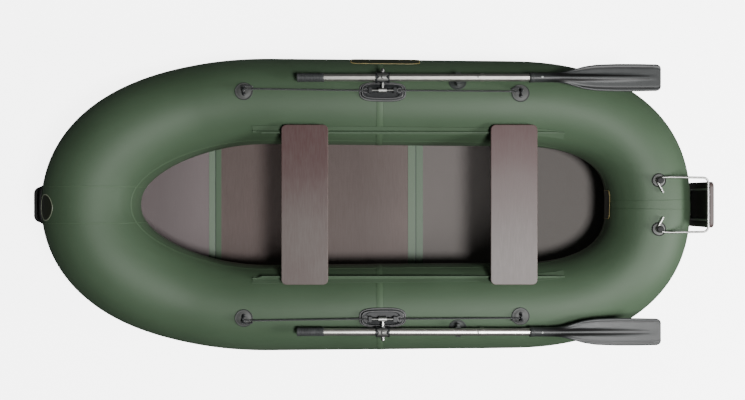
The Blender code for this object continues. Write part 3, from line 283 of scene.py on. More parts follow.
class Wire:
    def __init__(self, tree, socket):
        self.tree = tree
        self.socket = socket

    def maths(self, operation, *others):
        values = dict(enumerate((self,) + others))
        return addNode(self.tree, "ShaderNodeMath", 0, {"operation": operation}, values)

    __add__ = __radd__ = partialmethod(maths, "ADD")
    __mul__ = __rmul__ = partialmethod(maths, "MULTIPLY")
    __sub__ = partialmethod(maths, "SUBTRACT")
    __truediv__ = partialmethod(maths, "DIVIDE")
    __abs__ = partialmethod(maths, "ABSOLUTE")

    def __rsub__(self, other):
        return self * -1 + other

    def __rtruediv__(self, other):
        return self.maths("POWER", -1.0) * other

    def clamp(self):
        return self.maths("MAXIMUM", 0.0).maths("MINIMUM", 1.0)


class Paint:
    def __init__(self, name, colour, **flat):
        self.material = bpy.data.materials.new(name)
        self.material.use_nodes = True
        self.tree = self.material.node_tree
        self.shader = self.tree.nodes["Principled BSDF"]
        self.shader.inputs["Base Color"].default_value = (*colour, 1.0)
        self.material.diffuse_color = (*colour, 1.0)
        self.feed(**flat)
        self.coords = self.node("TexCoord", "Object")

    def node(self, kind, out=0, settings=None, values=None):
        return addNode(self.tree, "ShaderNode" + kind, out, settings, values)

    def noise(self, scale, detail=3.0, roughness=0.55, stretch=(1, 1, 1)):
        place = self.node("Mapping", values={"Vector": self.coords, "Scale": stretch})
        values = {"Vector": place, "Scale": scale, "Detail": detail, "Roughness": roughness}
        return self.node("TexNoise", values=values)

    def axis(self, name, vector=None):
        return self.node("SeparateXYZ", name, values={"Vector": vector or self.coords})

    def facing(self, name):
        return abs(self.axis(name, self.node("NewGeometry", "Normal")))

    def waves(self, value, pitch):
        return (value * (2 * math.pi / pitch)).maths("SINE")

    def band(self, value, low, high):
        limits = {"Value": value, "From Min": low, "From Max": high}
        return self.node("MapRange", settings={"interpolation_type": "SMOOTHSTEP"}, values=limits)

    def mix(self, factor, first, second):
        first, second = ((*c, 1.0) if isinstance(c, tuple) else c for c in (first, second))
        return self.node("Mix", 2, {"data_type": "RGBA"}, {0: factor, 6: first, 7: second})

    def feed(self, **wires):
        for key, value in wires.items():
            connect(self.shader.inputs[key.replace("_", " ")], value, self.tree)

    def finish(self, colour, height, depth, **wires):
        bump = self.node("Bump", values={"Height": height, "Distance": depth, "Strength": 1.0})
        self.feed(Base_Color=colour, Normal=bump, **wires)
        return self.material


def shaded(colour, share):
    return tuple(c * share for c in colour)


# Noise scales count the lumps in a metre, pitches and bump depths are metres
def coatedFabric(name, deep, light, threads=280.0, grain=0.00012):
    paint = Paint(name, light, Roughness=0.5, Specular_IOR_Level=0.36)
    cloud = paint.noise(2.3, 4.0)
    fine = paint.noise(900.0, 2.0)
    mottled = paint.mix(paint.band(cloud * 0.8 + fine * 0.2, 0.3, 0.7), deep, light)
    rough = paint.band(cloud, 0.2, 0.8) * 0.08 + 0.52
    values = {"Vector": paint.coords, "Scale": threads}
    for way in ("X", "Y"):
        fine = paint.node("TexWave", 1, {"bands_direction": way}, values) * 0.35 + fine
    return paint.finish(mottled, fine, grain, Roughness=rough)


# Floor strips: a dark fold line over each joint of the boards, painted as crease shade, and painted shade on
# the fold's stern side, so the side towards the bow is lighter
strip = dict(
    joints=(hull["riseStart"], 0.2405), line=0.001, lineW=(0.0012, 0.0042), fold=(-0.006, 0.004),
    half=(0.06, 0.04),
)


def stripFabric(name, bowSide, sternSide, line):
    paint = Paint(name, bowSide, Roughness=0.5)
    along = paint.axis("X")
    seam = shade = 0.0
    for joint in strip["joints"]:
        foldStart, foldEnd = (joint + place for place in strip["fold"])
        # painted crease shade: a dark line over each joint, also pressed in as a groove by the bump
        seam = 1 - paint.band(abs(along - (joint + strip["line"])), *strip["lineW"]) + seam
        near = paint.band(abs(along - joint), *strip["half"])
        # painted shade on the fold's stern side, close to each joint
        shade = paint.band(along, foldStart, foldEnd) * near + shade
    cloth = paint.mix(shade, sternSide, bowSide)
    tone = paint.mix(seam.clamp(), cloth, line)
    return paint.finish(tone, paint.noise(900.0, 2.0) - seam, 0.0004)


def meshPlywood(name, deep, light, spread, bowEnd, sternEnd, pitch=0.0042):
    paint = Paint(name, light, Specular_IOR_Level=0.2)
    across, along = paint.axis("Y"), paint.axis("X")
    ridge = paint.band(abs(paint.waves(across, pitch) * paint.waves(along, pitch)), 0.0, 0.55)
    streak = paint.noise(16.0, 5.0, 0.7, (9, 0.8, 1))
    cloud = paint.noise(1.6, 3.0)
    worn = paint.band(streak * 0.55 + cloud * 0.45, 0.32, 0.68)
    # painted sheen: each board lighter towards its stern end and towards port, a painted reflection of the
    # lamps
    paintedSheen = paint.band(along, bowEnd, sternEnd) * 0.45 + paint.band(across, 0.3, -0.3) * 0.3
    base = paint.mix((paintedSheen + worn * 0.35).clamp(), deep, light)
    tone = paint.mix(ridge * 0.35, base, shaded(light, spread))
    return paint.finish(tone, ridge + streak * 0.2, 0.00035, Roughness=worn * 0.16 + 0.46)


def smoothPlywood(name, deep, light, edge, ply=0.0031):
    paint = Paint(name, light, Specular_IOR_Level=0.22, Coat_Weight=0.06, Coat_Roughness=0.35)
    grain = paint.noise(24.0, 6.0, 0.65, (7, 0.7, 1))
    cloud = paint.noise(3.2, 3.0)
    # painted sheen: the seat turns from the deep reddish tone to the pale grey-mauve towards port, a painted
    # reflection of the lamps
    paintedSheen = paint.band(paint.axis("Y"), 0.4, -0.25) * 0.75
    face = paint.mix((paintedSheen + paint.band(grain * 0.5 + cloud * 0.5, 0.33, 0.66) * 0.3).clamp(), deep, light)
    layers = paint.mix(paint.band(paint.waves(paint.axis("Z"), ply), -0.4, 0.4), edge, shaded(edge, 0.45))
    upward = paint.band(paint.facing("Z"), 0.3, 0.7)
    tone = paint.mix(upward, layers, face)
    return paint.finish(tone, grain, 0.00025, Roughness=grain * 0.2 + 0.32)


def filmPlywood(name, face, first, second, ply=0.0044):
    paint = Paint(name, face, Specular_IOR_Level=0.5)
    layers = paint.mix(paint.band(paint.waves(paint.axis("X"), ply), -0.3, 0.3), first, second)
    grain = paint.noise(40.0, 5.0, 0.7, (1, 4, 1))
    skin = paint.mix(paint.band(grain, 0.35, 0.7), shaded(face, 0.7), face)
    flat = paint.band(paint.facing("X"), 0.4, 0.8)
    tone = paint.mix(flat, layers, skin)
    return paint.finish(tone, grain, 0.0002, Roughness=grain * 0.2 + 0.3)


def moulded(name, colour, rough, grain=900.0, depth=0.00008):
    paint = Paint(name, colour, Specular_IOR_Level=0.36)
    wear = paint.noise(26.0, 4.0)
    worn = tuple(min(c * 1.7 + 0.012, 1) for c in colour)
    rubbed = paint.mix(paint.band(wear, 0.56, 0.8) * 0.5, colour, worn)
    return paint.finish(rubbed, paint.noise(grain, 2.0), depth, Roughness=wear * 0.16 + rough - 0.08)


def metal(name, colour, rough, stretch):
    paint = Paint(name, colour, Metallic=1.0)
    scratch = paint.noise(60.0, 5.0, 0.7, stretch)
    dulled = paint.band(scratch * 0.5 + paint.noise(7.0, 3.0) * 0.5, 0.35, 0.68)
    tone = paint.mix(dulled, shaded(colour, 0.72), colour)
    return paint.finish(tone, scratch, 0.00006, Roughness=scratch * 0.22 + rough - 0.1)


def braid(name, colour, fleck):
    paint = Paint(name, colour, Roughness=0.8, Sheen_Weight=0.3)
    fibre = paint.noise(700.0, 3.0, 0.6)
    tone = paint.mix(paint.band(fibre, 0.55, 0.75) * 0.5, colour, fleck)
    return paint.finish(tone, fibre, 0.0003)


green = coatedFabric("hullFabric", (0.047, 0.078, 0.043), (0.055, 0.090, 0.051))
tapeGreen = coatedFabric("tapeFabric", (0.055, 0.092, 0.050), (0.064, 0.104, 0.058))
seamGreen = coatedFabric("seamFabric", (0.041, 0.073, 0.037), (0.047, 0.082, 0.043))
railGreen = coatedFabric("railFabric", (0.058, 0.090, 0.053), (0.068, 0.106, 0.064))
# Strip colours: the painted fold shade, the cloth, and the painted crease shade line
stripGreen = stripFabric("stripFabric", (0.050, 0.086, 0.047), (0.061, 0.098, 0.056), (0.016, 0.034, 0.018))
# The three boards: lighter and darker copies of one mesh plywood, painted as each board's different
# reflection of the lamps
bowPly = meshPlywood("meshPlywoodBow", (0.106, 0.083, 0.084), (0.142, 0.119, 0.120), 1.25, -1.2, -0.8)
midPly = meshPlywood("meshPlywoodMid", (0.058, 0.036, 0.032), (0.138, 0.112, 0.105), 1.25, -0.6, 0.15)
sternPly = meshPlywood("meshPlywoodStern", (0.118, 0.102, 0.098), (0.125, 0.114, 0.106), 1.2, 0.3, 1.0)
seatPly = smoothPlywood("seatPlywood", (0.060, 0.024, 0.024), (0.117, 0.099, 0.092), (0.20, 0.15, 0.13))
transomPly = filmPlywood("transomPlywood", (0.03, 0.02, 0.018), (0.13, 0.095, 0.09), (0.035, 0.025, 0.024))
blackPlastic = moulded("blackPlastic", (0.013, 0.014, 0.015), 0.4)
matteBlack = moulded("matteBlack", (0.005, 0.005, 0.005), 0.66)
# pale grey beads for painted highlights on the rowlock rims
wornEdge = moulded("wornEdge", (0.13, 0.128, 0.13), 0.5)
greyRubber = moulded("greyRubber", (0.115, 0.118, 0.112), 0.55)
eyeRubber = moulded("eyeRubber", (0.060, 0.062, 0.059), 0.55)
gripPlastic = moulded("gripPlastic", (0.045, 0.047, 0.048), 0.45)
rubber = moulded("padRubber", (0.022, 0.026, 0.024), 0.55, 700.0, 0.0002)
paleAccent = moulded("palePlastic", (0.33, 0.35, 0.33), 0.5)
tan = moulded("tanPrint", (0.42, 0.33, 0.12), 0.45)
steel = metal("zincSteel", (0.52, 0.52, 0.50), 0.42, (1, 9, 9))
alloy = metal("anodisedTube", (0.80, 0.78, 0.72), 0.36, (0.6, 9, 9))
dullSteel = metal("dullSteel", (0.24, 0.24, 0.23), 0.5, (1, 6, 6))
brightRod = metal("brightRod", (0.62, 0.62, 0.59), 0.42, (2, 2, 2))
ringPale = moulded("ringPrint", (0.24, 0.27, 0.19), 0.45)
badgeDark = moulded("badgeFilm", (0.018, 0.022, 0.013), 0.4)
labelDark = moulded("labelFilm", (0.030, 0.036, 0.018), 0.45)
ropeBlack = braid("ropeBlack", (0.014, 0.015, 0.016), (0.06, 0.065, 0.065))
print("materials made")


def camera():
    view = dict(height=4.2, span=745, focal=856, x=0.0304, y=0.021, sensor=36.0, far=60)
    data = bpy.data.cameras.new("camera")
    data.sensor_width = view["sensor"]
    data.lens = view["focal"] / view["span"] * view["sensor"]
    data.clip_end = view["far"]
    obj = addObject("camera", data)
    obj.location = (view["x"], view["y"], view["height"])
    bpy.context.scene.camera = obj


# Studio: a pale glowing floor and three soft lamps, given by name, place, size and power
studio = dict(
    reach=60, floor=(0.86, 0.86, 0.86), shades=((0.85, 0.85, 0.85), (0.9, 0.9, 0.9)), glow=5.0,
    sky=(0.95, 0.97, 1.0, 1), skyPower=0.07, aim=(0, 0, 0.2),
    lamps=(
        ("key", (2.0, -1.1, 7.0), (1.5, 1.5), 600),
        ("sternSide", (5.6, -1.2, 2.8), (1.3, 1.3), 340),
        ("bounce", (0.0, 0.0, -0.8), (7.0, 6.0), 150),
    ),
)


def makeFloor():
    glow = dict(Emission_Color=(1, 1, 1, 1), Emission_Strength=studio["glow"])
    paint = Paint("studioFloor", studio["floor"], Roughness=0.9, Specular_IOR_Level=0.1, **glow)
    paint.feed(Base_Color=paint.mix(paint.noise(0.6, 2.0), *studio["shades"]))
    mesh = bpy.data.meshes.new("studioFloor")
    reach = studio["reach"]
    corners = [(-reach, -reach, 0), (reach, -reach, 0), (reach, reach, 0), (-reach, reach, 0)]
    mesh.from_pydata(corners, [], [(0, 1, 2, 3)])
    mesh.materials.append(paint.material)
    floor = addObject("studioFloor", mesh)
    floor.visible_diffuse = False
    floor.visible_glossy = False
    floor.visible_shadow = False


def light():
    world = bpy.data.worlds.new("studio")
    world.use_nodes = True
    world.node_tree.nodes["Background"].inputs[0].default_value = studio["sky"]
    world.node_tree.nodes["Background"].inputs[1].default_value = studio["skyPower"]
    bpy.context.scene.world = world
    for name, place, size, power in studio["lamps"]:
        data = bpy.data.lights.new(name, "AREA")
        data.shape = "RECTANGLE"
        data.size, data.size_y = size
        data.energy = power
        lamp = addObject(name, data)
        lamp.visible_glossy = name != "bounce"
        lamp.location = place
        aim = Vector(studio["aim"]) - Vector(place)
        lamp.rotation_euler = aim.to_track_quat("-Z", "Y").to_euler()


camera()
makeFloor()
light()
print("camera and light set")


# Tubes: smooth skins with faint puckers where the gores meet
tube = dict(
    around=96, step=0.016, gap=0.0002, gores=(0.081, 0.42, 0.8), pucker=0.0011, puckerShare=0.35,
    puckerReach=0.05, puckerTurns=26, puckerDrift=9, ripple=0.0005, rippleRun=5, rippleAngle=14, phase=1.7,
)


def goreRuns():
    runs = [sideLength]
    for gore in tube["gores"]:
        runs += [gore, -gore, sideLength - gore, sideLength + gore]
    return runs


def tubeLift(run, angle, seams):
    near = min(abs(run - s) for s in seams)
    inner = max(0.0, -math.cos(math.radians(angle)))
    wave = math.sin(math.radians(angle) * tube["puckerTurns"] + run * tube["puckerDrift"])
    pucker = wave * math.exp(-((near / tube["puckerReach"]) ** 2))
    point = Vector((run * tube["rippleRun"], angle / tube["rippleAngle"], tube["phase"]))
    return tube["pucker"] * tube["puckerShare"] * inner * pucker + tube["ripple"] * noise.noise(point)


def spaced(low, high, step):
    count = math.ceil((high - low) / step)
    return [low + (high - low) * i / count for i in range(count + 1)]


def tubeSkin(name, low, high, replaced):
    seams = goreRuns()
    angles = [360 * k / tube["around"] for k in range(tube["around"])]
    rings = []
    for run in spaced(low, high, tube["step"]):
        rings.append([skinPoint(run, angle, tubeLift(run, angle, seams)) for angle in angles])
    Shape().loft(rings).make(name, green, "hull_fabric", replaced, angle=60)


seamRun = runAt(hull["seam"])
tubeSkin("bowChamber", -seamRun + tube["gap"], seamRun - tube["gap"], "tube_bow")
tubeSkin("sternChamber", seamRun + tube["gap"], 2 * sideLength - seamRun - tube["gap"], "tube_stern")
print("tubes made")


# Tapes over the seams, from one angle to another round the tube, with offset and lift in each section
tape = dict(
    thick=0.0009, lift=0.0003, edgeShare=0.12, step=3.0, turns=(-52, 223), bandW=0.028, lineAt=0.0145,
    lineW=0.0022, bowY=0.080, bowTurns=(5, 200), sternAt=0.020, sternW=0.0030, sternTurns=(20, 200),
    bow=((-0.0022, 0.0003), (-0.0014, 0.0010), (0.0014, 0.0010), (0.0022, 0.0003)),
    innerAngle=159, drop=17, dropStart=0.5, dropRun=0.7,
    inner=((-1.6, 0.0003), (-1.2, 0.0011), (1.2, 0.0011), (1.6, 0.0003)), innerCount=320,
)


def tapeShape(run, width, low, high):
    rings = []
    half, inset = width / 2, width * tape["edgeShare"]
    top = tape["lift"] + tape["thick"]
    section = ((-half, tape["lift"]), (-half + inset, top), (half - inset, top), (half, tape["lift"]))
    for angle in spaced(low, high, tape["step"]):
        rings.append([skinPoint(run + offset, angle, lift) for offset, lift in section])
    return Shape().loft(rings)


def runFor(y, angle, reach=0.4, halvings=24):
    low, high = -reach, reach
    for _ in range(halvings):
        middle = (low + high) / 2
        low, high = (middle, high) if skinPoint(middle, angle).y < y else (low, middle)
    return low


def bowSeam(y):
    rings = []
    for angle in spaced(*tape["bowTurns"], tape["step"]):
        rings.append([skinPoint(runFor(y + offset, angle), angle, lift) for offset, lift in tape["bow"]])
    return Shape().loft(rings)


def innerAngle(run):
    x = centreline(run % (2 * sideLength)).x
    return tape["innerAngle"] + tape["drop"] * ease((x - tape["dropStart"]) / tape["dropRun"])


def makeTapes():
    for side, sign in sides:
        band = tapeShape(sign * seamRun, tape["bandW"], *tape["turns"])
        band.make(f"seamBand_{side}", tapeGreen, "light_fabric", f"seam_band_{side}")
        for edge in (-1, 1):
            line = tapeShape(sign * seamRun + edge * tape["lineAt"], tape["lineW"], *tape["turns"])
            line.make(f"seamLine_{side}_{edge + 1}", seamGreen, "hull_fabric")
        bowSeam(sign * tape["bowY"]).make(f"bowSeam_{side}", tapeGreen, "hull_fabric")
        stern = tapeShape(sideLength + sign * tape["sternAt"], tape["sternW"], *tape["sternTurns"])
        stern.make(f"sternSeam_{side}", seamGreen, "hull_fabric")
    rings = []
    for i in range(tape["innerCount"]):
        run = 2 * sideLength * i / tape["innerCount"]
        rings.append([skinPoint(run, innerAngle(run) + turn, lift) for turn, lift in tape["inner"]])
    Shape().loft(rings, closedPath=True).make("innerSeam", tapeGreen, "hull_fabric")


makeTapes()
print("tapes made")


# Places on the tube, as run and angle, of a round or boxy ring
def padRing(run, angle, halfLong, halfWide, power, count):
    radius, shape = station(run)[2], turned(count, power)
    return [(run + halfLong * a, angle + math.degrees(halfWide * b / radius)) for a, b in shape]


# Layers give a share of the pad's size and a lift, and no lift puts the ring on the tube's skin
def padShape(run, angle, halfLong, halfWide, layers, power=2.0, around=48):
    rings = []
    for share, lift in layers:
        ring = padRing(run, angle, share * halfLong, share * halfWide, power, around if share else 1)
        rings.append([skinPoint(*spot) if lift is None else solidPoint(*spot, lift) for spot in ring])
    return Shape().loft(rings)


def beadLoop(spots, out, reach):
    middle = sum(spots, Vector()) / len(spots)
    rings = []
    for i, spot in enumerate(spots):
        chord = (spots[(i + 1) % len(spots)] - spots[i - 1]).normalized()
        side = chord.cross(out).normalized()
        side *= reach if side.dot(spot - middle) > 0 else -reach
        crown = spot + out * reach * 0.8
        rings.append([spot - side, crown - side * 0.4, crown + side * 0.4, spot + side])
    return Shape().loft(rings, closedPath=True)


def rimLoop(run, angle, halfLong, halfWide, lift, reach, power=2.0, count=96):
    spots = [solidPoint(*spot, lift) for spot in padRing(run, angle, halfLong, halfWide, power, count)]
    return beadLoop(spots, radial(station(run)[1], angle), reach)


discLayers = [(0, None), (1, None), (1, 0.0012), (0.97, 0.0022), (0.9, 0.0024), (0.86, 0.0018), (0.8, 0.0022)]


# Line eyes: a moulded loop on a round pad, with a collar at each foot
eye = dict(
    bow=-0.540, stern=0.688, angle=82.5, padR=0.040, thick=0.005, loopR=0.0135, loopSteps=24, wireR=0.004,
    legH=0.008, sunk=-0.002, dome=[(0.62, 0.0042), (0.55, 0.005), (0.3, 0.005), (0, 0.005)],
    collar=[(0.0085, -0.001), (0.0085, 0.001), (0.0068, 0.0028), (0.0045, 0.0036), (0, 0.0036)],
    edgeShare=0.95, edgeLift=0.0022, edgeR=0.0018, edgeCount=56,
)


def eyeFrame(run):
    outward = station(run)[1]
    out = radial(outward, eye["angle"])
    along = Vector((outward.y, -outward.x, 0))
    return solidPoint(run, eye["angle"], eye["thick"]), along, out, out.cross(along).normalized()


def makeEyes():
    for where in ("bow", "stern"):
        run = runAt(eye[where])
        pad = padShape(run, eye["angle"], eye["padR"], eye["padR"], discLayers + eye["dome"])
        foot, along, out, across = eyeFrame(run)
        path = [foot + across * eye["loopR"] + out * eye["sunk"]]
        for a, b in halfTurned(eye["loopSteps"]):
            path.append(foot + across * (eye["loopR"] * a) + out * (eye["legH"] + eye["loopR"] * b))
        path.append(foot - across * eye["loopR"] + out * eye["sunk"])
        loop = Shape().sweep(path, eye["wireR"], eye["wireR"], along, 20)
        for offset in (-1, 1):
            loop.lathe(eye["collar"], foot + across * (offset * eye["loopR"]), out)
        reach = eye["padR"] * eye["edgeShare"]
        edge = rimLoop(run, eye["angle"], reach, reach, eye["edgeLift"], eye["edgeR"], count=eye["edgeCount"])
        pad.makePair(f"lineEye_pad_{where}", eyeRubber, "pad_rubber", f"line_eye_{where}")
        loop.makePair(f"lineEye_loop_{where}", blackPlastic, "pad_rubber")
        edge.makePair(f"lineEye_edge_{where}", rubber, "pad_rubber")


makeEyes()
print("line eyes made")


# Rowlock: where its axle lies and the sizes round it
rowlock = dict(
    x=0.075, angle=82.5, axleH=0.0245, padL=0.105, padW=0.045, padT=0.003, padPower=3.2, padEdge=0.0021,
    frameL=0.094, frameW=0.035, framePower=4.0, frameEdge=0.0016, frameLift=0.0049, rimH=0.009,
    rimInset=0.0042, lift=0.0016, boss=0.0012, dip=0.0006, offset=0.056, wellX=0.0745, wellR=0.0085,
    wellEdge=0.0013, wellCount=40,
)
rowlockRun = runAt(rowlock["x"])
rowlockLip = rowlock["frameLift"] + rowlock["rimH"]
axle = solidPoint(rowlockRun, rowlock["angle"], rowlock["axleH"])
rimTop = solidPoint(rowlockRun, rowlock["angle"], rowlockLip).z + rowlock["boss"]


def oarAt(x):
    return Vector((x, axle.y + rowlock["offset"], axle.z))


def makeRowlockPads():
    place = (rowlockRun, rowlock["angle"])
    top, inset = rowlock["lift"] + rowlock["padT"], rowlock["rimInset"]
    layers = [(0, None), (1, None), (1, 0.0018), (0.985, 0.0034), (0.96, top), (0.92, top - rowlock["dip"])]
    layers += [(0.88, top), (0, top)]
    pad = padShape(*place, rowlock["padL"], rowlock["padW"], layers, rowlock["padPower"], 72)
    pad.makePair("rowlockPad", rubber, "pad_rubber", "rowlock_pad")
    # pale beads round the pad and frame rims: painted highlights
    for name, lift in (("pad", top), ("frame", rowlockLip)):
        halves = (rowlock[f"{name}L"] - inset, rowlock[f"{name}W"] - inset)
        edge = rimLoop(*place, *halves, lift, rowlock[f"{name}Edge"], rowlock[f"{name}Power"])
        edge.makePair(f"rowlock_{name}Edge", wornEdge, "black_plastic")
    # pale beads round the rims of the two wells: painted highlights
    turns = turned(rowlock["wellCount"])
    for name, toward in (("wellBow", -1), ("wellStern", 1)):
        centre = Vector((axle.x + toward * rowlock["wellX"], axle.y, rimTop))
        loop = [centre + (aft * a + starboard * b) * rowlock["wellR"] for a, b in turns]
        beadLoop(loop, up, rowlock["wellEdge"]).makePair(f"rowlock_{name}", wornEdge, "black_plastic")


makeRowlockPads()
print("rowlock pads made")


# Grab lines: three strands laid round the route that the solids take
rope = dict(
    radius=0.004, strand=0.0021, lay=0.026, strands=3, facets=9, fork=0.042, gap=0.0003, spacing=0.0025,
    wrapSteps=6, shares=(0.25, 0.5, 0.75), approach=1.2, backWrap=0.9, backRun=0.6,
)


def lineRoute(where, side):
    toward = -1 if where == "bow" else 1
    foot, along, out, across = eyeFrame(runAt(eye[where]))
    if across.y < 0:
        across = -across
    radius, gap = rope["radius"], rope["gap"]
    wrap = eye["wireR"] + 2 * gap + radius
    leg = foot + across * eye["loopR"] + out * (radius + gap * 2)
    well = Vector((axle.x + toward * rowlock["wellX"], axle.y, rimTop - rowlock["rimH"] / 2))
    brink = Vector((well.x + toward * radius, axle.y, rimTop + radius))
    mouth = Vector((axle.x + toward * (rowlock["frameL"] + radius), axle.y, rimTop + radius + gap))
    ahead = along if along.x * toward > 0 else -along
    before = leg - across * wrap - ahead * (eye["padR"] * rope["approach"])
    straight = leg - across * wrap - ahead * radius * 2
    turns = [leg - across * (wrap * a) + ahead * (wrap * b) for a, b in halfTurned(rope["wrapSteps"])]
    back = leg + across * (wrap * rope["backWrap"]) - ahead * eye["padR"] * rope["backRun"]
    end = leg - across * (wrap - 2 * radius - gap * 4) - ahead * rope["fork"]
    middle = [mouth.lerp(before, share) for share in rope["shares"]]
    middle[1] += up * gap
    points = [well, brink, mouth] + middle + [before, straight] + turns + [back, end]
    return points if side > 0 else flipped(points)


def ropeTree(material):
    tree = bpy.data.node_groups.new("laidRope", "GeometryNodeTree")
    tree.interface.new_socket("Geometry", in_out="INPUT", socket_type="NodeSocketGeometry")
    tree.interface.new_socket("Geometry", in_out="OUTPUT", socket_type="NodeSocketGeometry")
    sockets = {}
    for name in ("Strand Radius", "Lay Length", "Core Radius"):
        socket = tree.interface.new_socket(name, in_out="INPUT", socket_type="NodeSocketFloat")
        sockets[name] = socket.identifier
    source = tree.nodes.new("NodeGroupInput")
    route, strand, lay, core = (Wire(tree, source.outputs[name]) for name in ("Geometry", *sockets))

    def add(kind, out=0, **values):
        named = {key.replace("_", " "): value for key, value in values.items()}
        return addNode(tree, "GeometryNode" + kind, out, values=named)

    twist = add("SplineParameter", "Length") / lay * (2 * math.pi)
    tilted = add("SetCurveTilt", Curve=route, Tilt=twist)
    spots = add("MeshCircle", Vertices=rope["strands"], Radius=core)
    ring = add("CurvePrimitiveCircle", Resolution=rope["facets"], Radius=strand)
    profile = add("RealizeInstances", Geometry=add("InstanceOnPoints", Points=spots, Instance=ring))
    skin = add("CurveToMesh", Curve=tilted, Profile_Curve=profile, Fill_Caps=True)
    real = add("RealizeInstances", Geometry=add("SetShadeSmooth", Geometry=skin))
    finish = add("SetMaterial", Geometry=real, Material=material)
    connect(tree.nodes.new("NodeGroupOutput").inputs["Geometry"], finish, tree)
    return tree, sockets


def ropeMesh(route, tree, values):
    curve = bpy.data.curves.new("route", "CURVE")
    curve.dimensions = "3D"
    spline = curve.splines.new("POLY")
    spline.points.add(len(route) - 1)
    for point, place in zip(spline.points, route):
        point.co = (*place, 1.0)
    guide = addObject("route", curve)
    laid = guide.modifiers.new("rope", "NODES")
    laid.node_group = tree
    for identifier, value in values.items():
        laid[identifier] = value
    bpy.context.view_layer.update()
    graph = bpy.context.evaluated_depsgraph_get()
    mesh = bpy.data.meshes.new_from_object(guide.evaluated_get(graph), depsgraph=graph)
    bpy.data.objects.remove(guide)
    return mesh


def makeRopes():
    tree, sockets = ropeTree(ropeBlack)
    sizes = (rope["strand"], rope["lay"], rope["radius"] - rope["strand"])
    values = dict(zip(sockets.values(), sizes))
    for where in ("bow", "stern"):
        for name, side in sides:
            mesh = ropeMesh(smoothPath(lineRoute(where, side), rope["spacing"]), tree, values)
            settle(f"grabLine_{where}_{name}", mesh, f"grab_line_{where}_{name}", "hull")


makeRopes()
print("ropes made")


# Oar clips: an open cradle on a round pad, with a strap knob
clip = dict(
    x=0.409, angle=67.5, padR=0.040, dome=[(0.6, 0.0045), (0.5, 0.006), (0, 0.006)], inner=0.0175,
    wall=0.0045, rise=0.004, halfL=0.011, ends=((-1, 0.0008), (-0.93, 0), (0.93, 0), (1, 0.0008)),
    footLift=0.003, footW=0.95, waistW=0.72, waistH=0.8, lean=-0.0056, lip=0.0012, lipH=0.001,
    steps=40, bend=11, innerSteps=24, knobR=0.009, knobH=0.012, knobAt=(0.85, 0.8), knobFoot=-0.004,
    knob=((0.55, 0), (0.9, 0.2), (1, 0.4), (1, 0.75), (0.85, 0.92), (0.5, 1), (0, 0.97)),
)


def arc(radius, turns):
    return [(radius * math.cos(t), radius * math.sin(t)) for t in turns]


def clipSection(base):
    inner, outer = clip["inner"], clip["inner"] + clip["wall"]
    rise, lean, steps = clip["rise"], clip["lean"], clip["steps"]
    waist, foot = outer * clip["waistW"], outer * clip["footW"]
    section = [(outer, rise)]
    section += arc(outer, (-math.pi * i / steps for i in range(1, clip["bend"] + 1)))
    section += [(waist + lean * 0.5, base * clip["waistH"]), (foot + lean, base)]
    section += [(-foot + lean, base), (-waist + lean * 0.5, base * clip["waistH"])]
    section += arc(outer, (-math.pi + math.pi * i / steps for i in range(clip["bend"], -1, -1)))
    section += [(-outer, rise), (-inner - clip["lip"], rise + clip["lipH"]), (-inner, rise)]
    section += arc(inner, (math.pi + math.pi * i / clip["innerSteps"] for i in range(clip["innerSteps"] + 1)))
    return section + [(inner, rise), (inner + clip["lip"], rise + clip["lipH"])]


def makeClips():
    run = runAt(clip["x"])
    shape = padShape(run, clip["angle"], clip["padR"], clip["padR"], discLayers + clip["dome"])
    centre = oarAt(clip["x"])
    section = clipSection(solidPoint(run, clip["angle"], clip["footLift"]).z - centre.z)
    rings = []
    for offset, shrink in clip["ends"]:
        place = centre + aft * (offset * clip["halfL"])
        rings.append([place + starboard * y + up * (z - shrink) for y, z in section])
    shape.loft(rings)
    radius, height = clip["knobR"], clip["knobH"]
    aside, sunk = clip["knobAt"]
    reach = clip["inner"] + clip["wall"] + radius * aside
    knob = centre + up * (clip["rise"] - height * sunk) - starboard * reach
    profile = [(0, clip["knobFoot"]), (radius * 0.5, clip["knobFoot"])]
    profile += [(radius * share, height * level) for share, level in clip["knob"]]
    shape.lathe(profile, knob, up)
    shape.makePair("oarClip", rubber, "pad_rubber", "oar_clip")


makeClips()
print("oar clips made")


# Blade: round neck that flattens, with a rib down the middle and a groove on each side of it
blade = dict(
    neck=0.723, tip=1.303, halfW=0.061, neckR=0.0205, thick=0.0056, ribW=0.017, ribH=0.0125,
    runs=(0, 0.10, 0.17, 0.24, 0.32, 0.41, 0.51, 0.66, 0.82, 0.94, 0.98, 1.0),
    widths=(0.336, 0.336, 0.345, 0.48, 0.66, 0.83, 0.95, 1.0, 1.0, 0.975, 0.87, 0.72),
    flats=(0, 0, 0.12, 0.38, 0.66, 0.88, 1.0, 1.0, 1.0, 1.0, 1.0, 1.0),
    ribs=(1.0, 1.0, 1.0, 1.0, 0.95, 0.86, 0.76, 0.6, 0.4, 0.12, 0.0, 0.0),
    around=28, foot=(0.35, 0.65), spread=0.85, rimPower=10, rimRise=0.25, least=0.0004,
    groove=(-0.0011, 0.73, 0.04), lip=(0.0007, 0.9, 0.06), steps=60, plain=57,
    stops=[0.945, 0.96, 0.97, 0.98, 0.986, 0.991, 0.995, 0.998, 1.0], endStart=0.94, endWidth=0.975,
    endTaper=0.3, roundStart=0.955, roundRun=0.045, roundPower=2.2, collarAt=0.004,
    collar=(
        (0.0166, -0.004), (0.021, -0.004), (0.0222, -0.0025), (0.0222, 0.012), (0.0212, 0.014),
        (0.0205, 0.015), (0.0166, 0.015),
    ),
)
